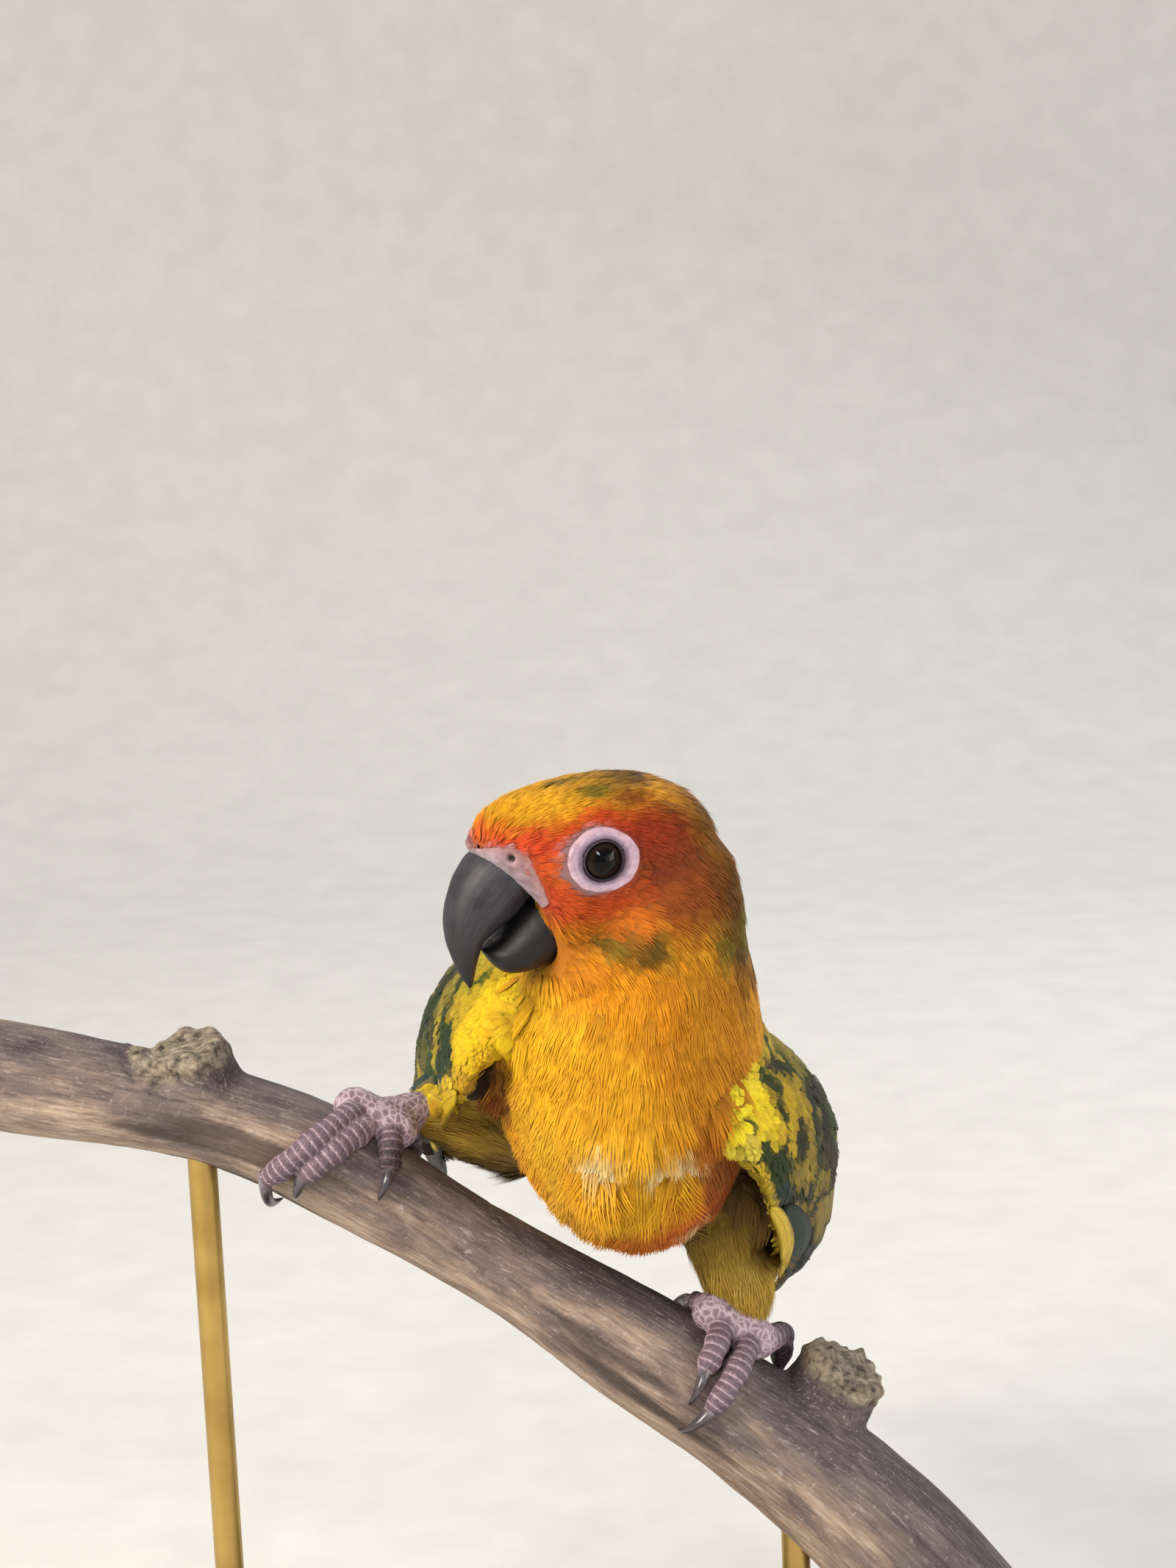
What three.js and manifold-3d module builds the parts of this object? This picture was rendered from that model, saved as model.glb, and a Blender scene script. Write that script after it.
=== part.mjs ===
// A sun conure as a still, life-size display model, on a cut length of branch held by a plain stand.
// Millimetres, +Z up. The origin is the centre of the stand base's underside. The bird faces -Y.

import * as THREE from 'three';
import { mergeVertices } from 'three/addons/utils/BufferGeometryUtils.js';
import Module from 'manifold-3d';

const wasm = await Module();
wasm.setup();

const { Vector3, Matrix4, MathUtils } = THREE;

// Driving dimensions of the bird
const GAP = 0.3;
const TRUNK_CENTRE = new Vector3(4.5, -1, 149);
const TRUNK_ELEVATION = 25;
const TRUNK_YAW = 2;
const TRUNK_ROLL = 3;
const HEAD_CENTRE = new Vector3(1, -26, 190);
const HEAD_YAW = 68;
const HEAD_PITCH = -3;
const EYE_PLACE = new Vector3(3.8, 8.5, 1.6);
const EYE_RADIUS = 4.4;
const WING_LENGTH = 150;
const TAIL_LENGTH = 130;
const BLADE_THICKNESS = 1.2;

// Driving dimensions of the branch and the stand
const BASE_SIZE = { length: 180, width: 108, height: 9, corner: 26, bevel: 1.2 };
const ROD_RADIUS = 2.4;
const ROD_PLACES = { left: -66, right: 30 };
const COLLAR = { radius: 5.5, height: 4 };

// The branch's centre line and its radius, from the upper left end to the lower right end
const BRANCH_LINE = [
  { at: [-106, 0, 152], radius: 8.8 },
  { at: [-77, 0, 145.5], radius: 8.6 },
  { at: [-50, 0, 136], radius: 8.4 },
  { at: [-20, 0, 116], radius: 7.9 },
  { at: [12, 0, 92.5], radius: 10 },
  { at: [36, 0, 73], radius: 11.2 },
  { at: [51, 0, 57], radius: 11.4 },
  { at: [66, 0, 37], radius: 11.6 },
];

const COLOURS = {
  gold: 0xf0a818,
  orange: 0xf0721a,
  yellow: 0xf2cf22,
  olive: 0xa89436,
  green: 0x4f6b2a,
  horn: 0x37343a,
  cere: 0xd9cbd4,
  eye: 0x120d0c,
  foot: 0xa58a8a,
  claw: 0x3b3638,
  bark: 0x8b776b,
  wood: 0x4a3426,
  brass: 0xb59a5b,
};

// Small helpers

function material(colour, roughness, metalness = 0) {
  return new THREE.MeshStandardMaterial({ color: COLOURS[colour], roughness, metalness });
}

// Smooth value between hand-chosen [place, value] pairs
function curveOf(pairs) {
  const places = pairs.map((pair) => pair[0]);
  const values = pairs.map((pair) => pair[1]);
  const slopes = values.map((value, i) => {
    const before = Math.max(i - 1, 0);
    const after = Math.min(i + 1, values.length - 1);
    return (values[after] - values[before]) / (places[after] - places[before]);
  });
  return (place) => {
    if (place <= places[0]) return values[0];
    if (place >= places.at(-1)) return values.at(-1);
    const i = places.findIndex((p) => p > place) - 1;
    const span = places[i + 1] - places[i];
    const u = (place - places[i]) / span;
    const start = values[i] * (1 + 2 * u) * (1 - u) ** 2 + slopes[i] * span * u * (1 - u) ** 2;
    const end = values[i + 1] * u * u * (3 - 2 * u) + slopes[i + 1] * span * u * u * (u - 1);
    return start + end;
  };
}

// A frame whose X points where the piece faces, Y to its left and Z up. Yaw 0 faces -Y
function facing(centre, yaw, elevation, roll = 0) {
  const y = MathUtils.degToRad(yaw);
  const e = MathUtils.degToRad(elevation);
  const forward = new Vector3(-Math.sin(y) * Math.cos(e), -Math.cos(y) * Math.cos(e), Math.sin(e));
  const left = new Vector3(Math.cos(y), -Math.sin(y), 0);
  const up = new Vector3().crossVectors(forward, left);
  const frame = new Matrix4().makeBasis(forward, left, up);
  frame.multiply(new Matrix4().makeRotationX(MathUtils.degToRad(roll)));
  return frame.setPosition(centre);
}

function signedVolume(geometry) {
  const points = geometry.getAttribute('position');
  const corner = [new Vector3(), new Vector3(), new Vector3()];
  let total = 0;
  for (let i = 0; i < geometry.index.count; i += 3) {
    corner.forEach((c, k) => c.fromBufferAttribute(points, geometry.index.getX(i + k)));
    total += corner[0].dot(corner[1].clone().cross(corner[2])) / 6;
  }
  return total;
}

// Moves every point of a closed geometry and keeps its faces pointing out
function warp(geometry, move) {
  geometry.deleteAttribute('normal');
  geometry.deleteAttribute('uv');
  const merged = mergeVertices(geometry, 1e-5);
  const points = merged.getAttribute('position');
  const point = new Vector3();
  for (let i = 0; i < points.count; i += 1) {
    point.fromBufferAttribute(points, i);
    const moved = move(point.clone());
    points.setXYZ(i, moved.x, moved.y, moved.z);
  }
  if (signedVolume(merged) < 0) {
    const index = merged.index.array;
    for (let i = 0; i < index.length; i += 3) {
      [index[i], index[i + 1]] = [index[i + 1], index[i]];
    }
  }
  return merged;
}

function toSolid(geometry) {
  const clean = geometry.clone();
  clean.deleteAttribute('normal');
  clean.deleteAttribute('uv');
  const merged = mergeVertices(clean, 1e-5);
  const vertProperties = Float32Array.from(merged.getAttribute('position').array);
  const triVerts = Uint32Array.from(merged.index.array);
  return new wasm.Manifold(new wasm.Mesh({ numProp: 3, vertProperties, triVerts }));
}

// The main piece of a joined or cut solid, without air pockets or loose slivers
function mainPiece(solid) {
  const pieces = solid.decompose();
  return pieces.reduce((best, piece) => (piece.volume() > best.volume() ? piece : best));
}

function toGeometry(solid) {
  const mesh = mainPiece(solid).getMesh();
  const geometry = new THREE.BufferGeometry();
  geometry.setAttribute('position', new THREE.BufferAttribute(mesh.vertProperties, 3));
  geometry.setIndex(new THREE.BufferAttribute(mesh.triVerts, 1));
  geometry.computeVertexNormals();
  return geometry;
}

function joined(solids) {
  return solids.reduce((whole, solid) => whole.add(solid));
}

// The half of space on the +X side of a frame, as a large box
function halfSpace(frame) {
  const reach = 400;
  const box = new THREE.BoxGeometry(reach, reach, reach);
  box.translate(reach / 2, 0, 0);
  return toSolid(box.applyMatrix4(frame));
}

// A round-ended body along a straight or bent line. at(along) gives the frame of each cross-section,
// shape(along) its half sizes: left, right, up and down. A fullness above 2 makes the ends blunter
function roundedBody({ at, shape, sides = 24, rings = 16, fullness = 2 }) {
  const sphere = new THREE.SphereGeometry(1, sides, rings);
  return warp(sphere, (p) => {
    const along = MathUtils.clamp((1 + p.y) / 2, 0, 1);
    const girth = Math.hypot(p.x, p.z);
    const blunt = girth < 1e-6 ? 1 : (1 - Math.abs(p.y) ** fullness) ** (1 / fullness) / girth;
    const { left, right, up, down } = shape(along);
    const side = blunt * (p.x > 0 ? p.x * left : p.x * right);
    const height = blunt * (p.z > 0 ? p.z * up : p.z * down);
    return new Vector3(0, side, height).applyMatrix4(at(along));
  });
}

// Trunk and neck: one line from the rump to the back of the head, with the half sizes round it

const TRUNK = facing(TRUNK_CENTRE, TRUNK_YAW, TRUNK_ELEVATION, TRUNK_ROLL);
const BODY_LINE = [
  { at: [6.6, 56, 122.5], side: 13, back: 10, front: 11 },
  { at: [5.8, 36, 132], side: 18.5, back: 15, front: 17 },
  { at: [5, 16, 141.5], side: 21.5, back: 18, front: 27 },
  { at: [4.6, -3, 150], side: 22.6, back: 19.5, front: 33.5 },
  { at: [6.2, -14, 160], side: 21, back: 19, front: 34 },
  { at: [6.6, -20, 171], side: 19.8, back: 17.5, front: 24 },
  { at: [7.6, -23, 184], side: 18.6, back: 16, front: 18.5 },
  { at: [8.6, -24, 197], side: 18, back: 15, front: 16 },
];
const BODY_LEFT = new Vector3(1, -0.035, 0.05).normalize();
const BODY_CURVE = new THREE.CatmullRomCurve3(BODY_LINE.map(({ at }) => new Vector3(...at)));

// One of the body's half sizes as a smooth function of the share of the line
function bodySize(name) {
  return curveOf(BODY_LINE.map((station, i) => [i / (BODY_LINE.length - 1), station[name]]));
}
const BODY_SIDE = bodySize('side');
const BODY_BACK = bodySize('back');
const BODY_FRONT = bodySize('front');

function bodyBody(margin) {
  return toSolid(roundedBody({
    at: (along) => {
      const tangent = BODY_CURVE.getTangent(along);
      const back = new Vector3().crossVectors(tangent, BODY_LEFT).normalize();
      const left = new Vector3().crossVectors(back, tangent);
      const end = BODY_CURVE.getPoint(along).addScaledVector(tangent, (2 * along - 1) * margin);
      return new Matrix4().makeBasis(tangent, left, back).setPosition(end);
    },
    shape: (along) => {
      const side = BODY_SIDE(along) + margin;
      return { left: side, right: side, up: BODY_BACK(along) + margin, down: BODY_FRONT(along) + margin };
    },
    sides: 20,
    rings: 19,
    fullness: 3,
  }));
}

// Head, in its own frame: X to the bill, Y to the bird's left, Z to the crown

const HEAD = facing(HEAD_CENTRE, HEAD_YAW, HEAD_PITCH);
const SKULL = { front: 21, back: 19, side: 13.6, up: 12.7, down: 15 };
const FOREHEAD_FULLNESS = 2.8;
const FACE_LIMIT = curveOf([[-16, 10], [-8, 11.5], [-3, 13.2], [2, 17.5], [6, 21.6], [14, 24]]);

function headBody() {
  const sphere = new THREE.SphereGeometry(1, 21, 15);
  return toSolid(warp(sphere, (p) => {
    const direction = new Vector3(p.x, p.z, p.y);
    const fullness = direction.x > 0 ? 2 + (FOREHEAD_FULLNESS - 2) * direction.x : 2;
    const norm = (
      Math.abs(direction.x) ** fullness + Math.abs(direction.y) ** fullness
      + Math.abs(direction.z) ** fullness
    ) ** (1 / fullness);
    direction.divideScalar(norm);
    const x = direction.x * (direction.x > 0 ? SKULL.front : SKULL.back);
    const z = direction.z * (direction.z > 0 ? SKULL.up : SKULL.down);
    const limit = FACE_LIMIT(z);
    const faceX = x > limit ? limit + (x - limit) * 0.12 : x;
    return new Vector3(faceX, direction.y * SKULL.side, z).applyMatrix4(HEAD);
  }));
}

// Bill: each section spans from the ridge to the cutting edge, in the head's middle plane

const UPPER_BILL = [
  { ridge: [16.5, 3.4], edge: [9.5, -3.4], half: 6.4 },
  { ridge: [19.8, 3.3], edge: [11.6, -4.8], half: 6.3 },
  { ridge: [23.0, 0.1], edge: [14.6, -7.4], half: 5.6 },
  { ridge: [25.2, -4.9], edge: [17.9, -9.4], half: 4.6 },
  { ridge: [25.6, -9.0], edge: [19.9, -10.8], half: 3.5 },
  { ridge: [25.0, -12.2], edge: [20.9, -12.9], half: 2.5 },
  { ridge: [24.0, -15.2], edge: [21.7, -15.4], half: 1.4 },
  { ridge: [22.8, -17.6], edge: [22.3, -17.5], half: 0.3 },
];

const LOWER_BILL = [
  { ridge: [7.5, -14.0], edge: [7.5, -6.8], half: 5.0 },
  { ridge: [10.4, -15.0], edge: [11.2, -6.8], half: 5.5 },
  { ridge: [14.2, -16.2], edge: [15.0, -9.6], half: 5.0 },
  { ridge: [17.6, -15.9], edge: [17.9, -11.6], half: 4.1 },
  { ridge: [19.9, -13.9], edge: [19.7, -11.9], half: 2.9 },
];

function billBody(sections, margin, sides = 12) {
  const rows = sections.length - 1;
  const tube = new THREE.CylinderGeometry(1, 1, rows, sides, rows);
  return toSolid(warp(tube, (p) => {
    const section = sections[Math.round(p.y + rows / 2)];
    const [ridgeX, ridgeZ] = section.ridge;
    const [edgeX, edgeZ] = section.edge;
    const half = section.half + margin;
    const span = Math.hypot(ridgeX - edgeX, ridgeZ - edgeZ);
    const stretch = (span + 2 * margin) / span;
    const across = (p.x * stretch) / 2;
    const x = (ridgeX + edgeX) / 2 + (ridgeX - edgeX) * across;
    const z = (ridgeZ + edgeZ) / 2 + (ridgeZ - edgeZ) * across;
    return new Vector3(x, p.z * half, z).applyMatrix4(HEAD);
  }));
}

// The blunt tongue that fills the open bill
const TONGUE = { back: [7.5, -6.2], front: [17.2, -10.6], half: 3.4, height: 1.7 };

function tongueBody() {
  return toSolid(roundedBody({
    at: (along) => HEAD.clone().multiply(new Matrix4().makeTranslation(
      MathUtils.lerp(TONGUE.back[0], TONGUE.front[0], along),
      0,
      MathUtils.lerp(TONGUE.back[1], TONGUE.front[1], along),
    )),
    shape: () => ({ left: TONGUE.half, right: TONGUE.half, up: TONGUE.height, down: TONGUE.height }),
    sides: 10,
    rings: 6,
  }));
}

const CERE = { centre: new Vector3(15.6, 0, -0.2), front: 4.1, side: 6.9, up: 4.9 };

function cereBody(margin) {
  const sphere = new THREE.SphereGeometry(1, 10, 8);
  return toSolid(warp(sphere, (p) => {
    const place = new Vector3(
      CERE.centre.x + p.x * (CERE.front + margin),
      p.z * (CERE.side + margin),
      CERE.centre.z + p.y * (CERE.up + margin),
    );
    return place.applyMatrix4(HEAD);
  }));
}

function eyeBody(side, radius) {
  const place = EYE_PLACE.clone();
  place.y *= side;
  const ball = new THREE.SphereGeometry(radius, 10, 7);
  ball.applyMatrix4(new Matrix4().makeTranslation(place.x, place.y, place.z));
  return toSolid(ball.applyMatrix4(HEAD));
}

// The hollow in the feathers round the bare ring of the eye
const EYE_HOLLOW = { centre: new Vector3(4.2, 14.4, 1.8), long: 5.6, deep: 2.6, high: 4.8 };

function eyeHollow(side) {
  const { centre, long, deep, high } = EYE_HOLLOW;
  const sphere = new THREE.SphereGeometry(1, 10, 5);
  return toSolid(warp(sphere, (p) => new Vector3(
    centre.x + p.x * long,
    side * (centre.y + p.y * deep),
    centre.z + p.z * high,
  ).applyMatrix4(HEAD)));
}

// Wings. X runs from the wrist to the tip, Y from the leading edge up to the back, Z outwards

const WING_LOW = curveOf([[0, -8], [12, -12], [30, -13], [60, -12.5], [90, -10], [120, -7], [150, -3]]);
const WING_HIGH = curveOf([[0, 13], [12, 24], [30, 31], [55, 33], [80, 27], [100, 17], [125, 8], [150, 3]]);
const WING_CAMBER = curveOf([[0, 1.5], [12, 4.5], [30, 7.5], [60, 10.5], [95, 8.5], [125, 5], [150, 1.5]]);
const WING_THICKNESS = curveOf([[0, 8], [15, 9], [40, 8], [65, 4.5], [90, 2.6], [150, 1.6]]);

const WINGS = {
  left: {
    side: 1, wrist: new Vector3(17.2, -38.5, 147), tip: new Vector3(34, 97, 75), tilt: 0.2, bulge: 1.55, droop: 2.5,
  },
  right: {
    side: -1, wrist: new Vector3(-12.5, -30, 161), tip: new Vector3(-33.5, 100, 103), tilt: 0.5, bulge: 1.12, droop: 0,
  },
};

function wingFrame({ side, wrist, tip, tilt }) {
  const along = tip.clone().sub(wrist).normalize();
  const outward = new Vector3(side, 0, tilt);
  outward.addScaledVector(along, -outward.dot(along)).normalize();
  const upward = new Vector3().crossVectors(outward, along).multiplyScalar(side);
  return new Matrix4().makeBasis(along, upward, outward).setPosition(wrist);
}

// The lower edge hangs by the wing's droop between the wrist and the tip
function wingSpan(x, droop) {
  const low = WING_LOW(x) - droop * Math.sin((Math.PI * MathUtils.clamp(x, 0, WING_LENGTH)) / WING_LENGTH);
  return { middle: (WING_HIGH(x) + low) / 2, half: (WING_HIGH(x) - low) / 2 };
}

// How far the middle of the wing stands out, at a place along it and across it
function wingRise(x, y, { bulge, droop }) {
  const { middle, half } = wingSpan(x, droop);
  const across = MathUtils.clamp((y - middle) / half, -1.15, 1.15);
  return bulge * WING_CAMBER(x) * (1 - across * across);
}

// The closed shell of the folded wing, from the round wrist to the thin tip
function wingBody(frame, wing, margin) {
  const sphere = new THREE.SphereGeometry(1, 12, 12);
  return toSolid(warp(sphere, (p) => {
    const x = (WING_LENGTH * (1 + p.y)) / 2;
    const { middle, half } = wingSpan(x, wing.droop);
    const y = middle + (half + margin) * p.x;
    const z = wingRise(x, y, wing) + (WING_THICKNESS(x) * 0.5 + margin) * p.z;
    return new Vector3(x + margin * p.y, y, z).applyMatrix4(frame);
  }));
}

// The end of one long feather, standing clear of the folded wing's upper edge
function featherEnd(frame, wing, { base, tip, half, lift }, margin) {
  const box = new THREE.BoxGeometry(1, 1, 1, 3, 1, 1);
  const outline = curveOf([[0, 0.7], [0.34, 1], [0.7, 0.9], [1, 0.2]]);
  return toSolid(warp(box, (p) => {
    const along = p.x + 0.5;
    const x = MathUtils.lerp(base[0], tip[0], along);
    const y = MathUtils.lerp(base[1], tip[1], along) + p.y * 2 * (half * outline(along) + margin);
    const z = wingRise(x, y, wing) + lift + p.z * (BLADE_THICKNESS + 2 * margin);
    return new Vector3(x, y, z).applyMatrix4(frame);
  }));
}

// The free feather ends, from the longest primary up to the innermost secondary
const FEATHER_ENDS = [
  { base: [104, -1], tip: [152, -1], half: 4.4, lift: -0.2 },
  { base: [98, 4], tip: [145, 5], half: 4.8, lift: 0 },
  { base: [88, 9], tip: [134, 11], half: 5.2, lift: 0.2 },
  { base: [78, 14], tip: [122, 17], half: 5.6, lift: 0.4 },
  { base: [66, 20], tip: [109, 23], half: 6, lift: 0.6 },
];

// Tail: twelve long feathers in a closed fan under their coverts. The frame's X runs to the tips

const TAIL_ROOT = -54;
const TAIL_DROP = 7;
const TAIL_PAIRS = 6;
const TAIL_FAN = { first: 1.4, step: 1.15, spread: 1.25, half: 5.4, drop: 0.022, stagger: 0.35 };
const TAIL_COVERTS = { root: -10, end: 56, width: [15, 10], height: [12, 3.4] };
const OUTER_SHORTER = 0.42;

function tailFrame() {
  const turn = new Matrix4().makeRotationY(MathUtils.degToRad(180 - TAIL_DROP));
  const place = new Matrix4().makeTranslation(TAIL_ROOT, 0, 0);
  return TRUNK.clone().multiply(place).multiply(turn);
}

function tailFeather(frame, side, pair) {
  const { first, step, spread, half, drop, stagger } = TAIL_FAN;
  const share = pair / (TAIL_PAIRS - 1);
  const length = TAIL_LENGTH * (1 - OUTER_SHORTER * share ** 1.3);
  const box = new THREE.BoxGeometry(1, 1, 1, 2, 1, 1);
  const outline = curveOf([[0, 0.8], [0.5, 1.15], [1, 0.12]]);
  return toSolid(warp(box, (p) => {
    const along = p.x + 0.5;
    const fan = side * (first + step * pair) * MathUtils.lerp(1, spread, along);
    const y = fan + p.y * 2 * half * outline(along);
    const layer = pair / 2 + (side > 0 ? stagger : 0);
    return new Vector3(length * along, y, layer - drop * y * y + p.z * BLADE_THICKNESS).applyMatrix4(frame);
  }));
}

function tailCoverts(frame) {
  const { root, end, width, height } = TAIL_COVERTS;
  return toSolid(roundedBody({
    at: (along) => {
      const place = new Matrix4().makeTranslation(MathUtils.lerp(root, end, along), 0, 0);
      return frame.clone().multiply(place);
    },
    shape: (along) => {
      const side = MathUtils.lerp(width[0], width[1], along);
      const rise = MathUtils.lerp(height[0], height[1], along);
      return { left: side, right: side, up: rise, down: rise };
    },
    sides: 12,
    rings: 7,
  }));
}

// Legs. The foot's palm lies along the branch between its two ends

const LEGS = {
  left: {
    hip: new Vector3(12, 12, 131), knee: new Vector3(18.5, 4, 119), ankle: new Vector3(21, 1.5, 104.5),
    palm: [new Vector3(17.2, -1, 104.6), new Vector3(24.4, -1, 99.6)],
  },
  right: {
    hip: new Vector3(-4, 14, 136), knee: new Vector3(-15, 11, 134), ankle: new Vector3(-30, 6, 139.5),
    palm: [new Vector3(-40.4, -0.5, 142.4), new Vector3(-33.6, -0.5, 138.6)],
  },
};
const THIGH_RADIUS = curveOf([[0, 11], [0.4, 9.2], [0.75, 6.4], [1, 5.8]]);
const SHANK_RADIUS = 3;
const PALM_RADIUS = 3.2;

// A tube with blunt ends along a curve, its radius given by a function
function roundedTube(points, radius, { sides, rings, fullness, margin = 0 }) {
  const line = new THREE.CatmullRomCurve3(points);
  const frames = line.computeFrenetFrames(rings * 8);
  const at = (along) => {
    const i = Math.round(along * rings * 8);
    const frame = new Matrix4().makeBasis(frames.tangents[i], frames.normals[i], frames.binormals[i]);
    const end = line.getPointAt(along).addScaledVector(frames.tangents[i], (2 * along - 1) * margin);
    return frame.setPosition(end);
  };
  const shape = (along) => {
    const r = radius(along) + margin;
    return { left: r, right: r, up: r, down: r };
  };
  return toSolid(roundedBody({ at, shape, sides, rings, fullness }));
}

function thighBody({ hip, knee, ankle }, margin) {
  return roundedTube([hip, knee, ankle], THIGH_RADIUS, { sides: 11, rings: 7, fullness: 4, margin });
}

function footBody({ ankle, palm }, margin) {
  const shape = { sides: 8, rings: 5, fullness: 4, margin };
  const middle = palm[0].clone().lerp(palm[1], 0.5);
  const shank = roundedTube([ankle, middle], () => SHANK_RADIUS, shape);
  return shank.add(roundedTube(palm, () => PALM_RADIUS, shape));
}

// Branch

const BRANCH_CURVE = new THREE.CatmullRomCurve3(BRANCH_LINE.map(({ at }) => new Vector3(...at)));
const BRANCH_RADIUS = curveOf(BRANCH_LINE.map(({ at, radius }) => [at[0], radius]));
const BRANCH_STATIONS = 14;
const BRANCH_LUMP = 0.022;
const BRANCH_TABLE = BRANCH_CURVE.getPoints(400);

// Centre, axis and upward normal of the branch over a place x on the stand
function branchAt(x) {
  const last = BRANCH_TABLE.length - 1;
  const i = MathUtils.clamp(BRANCH_TABLE.findIndex((point) => point.x >= x), 1, last);
  const [before, after] = [BRANCH_TABLE[i - 1], BRANCH_TABLE[i]];
  const share = MathUtils.clamp((x - before.x) / (after.x - before.x), 0, 1);
  const centre = before.clone().lerp(after, share);
  const axis = after.clone().sub(before).normalize();
  const front = new Vector3(0, -1, 0);
  const up = new Vector3().crossVectors(front, axis);
  return { centre, axis, front, up, radius: BRANCH_RADIUS(x) };
}

function branchBody(margin) {
  const tube = new THREE.CylinderGeometry(1, 1, 1, 14, BRANCH_STATIONS);
  const [start, end] = [BRANCH_LINE[0].at[0], BRANCH_LINE.at(-1).at[0]];
  return toSolid(warp(tube, (p) => {
    const along = p.y + 0.5;
    const { centre, axis, front, up, radius } = branchAt(MathUtils.lerp(start, end, along));
    const angle = Math.atan2(p.z, p.x);
    const lump = 1 + BRANCH_LUMP * (Math.sin(3 * angle + 14 * along) + Math.sin(23 * along));
    const reach = (radius * lump + margin) * Math.hypot(p.x, p.z);
    return centre
      .addScaledVector(up, reach * Math.cos(angle))
      .addScaledVector(front, reach * Math.sin(angle))
      .addScaledVector(axis, (along - 0.5) * 2 * margin);
  }));
}

const STUBS = [
  { from: [-65, 1, 142], to: [-68, -1, 155], start: 8, end: 6 },
  { from: [30, 3, 78], to: [39.5, 2, 93], start: 9, end: 6.5 },
];

function stubBody({ from, to, start, end }) {
  const foot = new Vector3(...from);
  const top = new Vector3(...to);
  const length = foot.distanceTo(top);
  const stub = new THREE.CylinderGeometry(end, start, length, 10, 1);
  stub.translate(0, length / 2, 0);
  const turn = new THREE.Quaternion().setFromUnitVectors(
    new Vector3(0, 1, 0),
    top.clone().sub(foot).normalize(),
  );
  stub.applyQuaternion(turn);
  stub.translate(foot.x, foot.y, foot.z);
  return toSolid(stub);
}

// Toes wrap round the branch. start and end are [place along the branch in mm from the foot,
// angle in degrees from the top of the branch towards the front]. arch lifts the middle of a toe

const TOE_RADIUS = { base: 2.1, end: 1.6 };
const CLAW_RADIUS = { base: 0.95, end: 0.3 };
const CLAW_HEIGHT = { base: 1.6, arch: 1.2, fall: 1.1 };
const BARK_CLEARANCE = 1.03;
const FEET = {
  left: {
    x: 13,
    toes: {
      2: { start: [-2.6, 8], end: [-1.9, 58], claw: [-0.8, 90], arch: 0.6 },
      3: { start: [2.9, 4], end: [2.4, 82], claw: [0.6, 118], arch: 0.6 },
      4: { start: [5.5, 0], end: [12.5, -42], claw: [14.5, -78], arch: 3 },
      1: { start: [-3.4, -6], end: [-7, -26], claw: [-8.6, -58], arch: 0.6 },
    },
  },
  right: {
    x: -44.5,
    toes: {
      2: { start: [1.4, 24], end: [-4.4, 97], claw: [-3.4, 128], arch: 0.4 },
      3: { start: [-0.2, 8], end: [-10, 116], claw: [-5, 168], arch: 0.4 },
      4: { start: [6.5, -10], end: [11.5, -66], claw: [13, -104], arch: 1 },
      1: { start: [4.4, 10], end: [7.4, 52], claw: [8.4, 84], arch: 0.4 },
    },
  },
};

// A point over the branch's surface, near a foot
function overBranch(footX, [slide, degrees], height) {
  const { centre, front, up, radius } = branchAt(footX + slide * branchAt(footX).axis.x);
  const angle = MathUtils.degToRad(degrees);
  const reach = radius * BARK_CLEARANCE + height;
  return centre.clone()
    .addScaledVector(up, reach * Math.cos(angle))
    .addScaledVector(front, reach * Math.sin(angle));
}

function between([a, b], [c, d], share) {
  return [MathUtils.lerp(a, c, share), MathUtils.lerp(b, d, share)];
}

function toeBody(foot, { start, end, arch }, margin) {
  const radius = (share) => MathUtils.lerp(TOE_RADIUS.base, TOE_RADIUS.end, share);
  const places = [0, 0.33, 0.67, 1].map((share) => {
    const height = radius(share) + GAP + arch * Math.sin(Math.PI * share);
    return overBranch(foot.x, between(start, end, share), height);
  });
  return roundedTube(places, radius, { sides: 6, rings: 6, fullness: 4, margin });
}

function clawBody(foot, { end, claw }) {
  const places = [0, 0.5, 1].map((share) => {
    const arch = CLAW_HEIGHT.arch * Math.sin(Math.PI * share);
    const height = CLAW_HEIGHT.base + arch - CLAW_HEIGHT.fall * share;
    return overBranch(foot.x, between(end, claw, share), height);
  });
  const radius = (along) => MathUtils.lerp(CLAW_RADIUS.base, CLAW_RADIUS.end, along);
  return roundedTube(places, radius, { sides: 5, rings: 5, fullness: 3 });
}

// Stand

function standBase() {
  const { length, width, height, corner, bevel } = BASE_SIZE;
  const [x, y] = [length / 2 - bevel, width / 2 - bevel];
  const outline = new THREE.Shape();
  outline.moveTo(-x + corner, -y);
  outline.lineTo(x - corner, -y);
  outline.absarc(x - corner, -y + corner, corner, -Math.PI / 2, 0);
  outline.absarc(x - corner, y - corner, corner, 0, Math.PI / 2);
  outline.absarc(-x + corner, y - corner, corner, Math.PI / 2, Math.PI);
  outline.absarc(-x + corner, -y + corner, corner, Math.PI, Math.PI * 1.5);
  const plate = new THREE.ExtrudeGeometry(outline, {
    depth: height - 2 * bevel, bevelSize: bevel, bevelThickness: bevel, bevelSegments: 1, curveSegments: 4,
  });
  plate.translate(0, 0, bevel);
  return plate;
}

function upright(x, radius, low, high, sides) {
  const rod = new THREE.CylinderGeometry(radius, radius, high - low, sides);
  rod.rotateX(Math.PI / 2);
  rod.translate(x, 0, (low + high) / 2);
  return rod;
}

// Assembly

const model = new THREE.Group();

function place(name, geometry, finish) {
  const mesh = new THREE.Mesh(geometry, finish);
  mesh.name = name;
  model.add(mesh);
}

const bodyWide = bodyBody(GAP);
const branchWide = branchBody(GAP);

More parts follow.
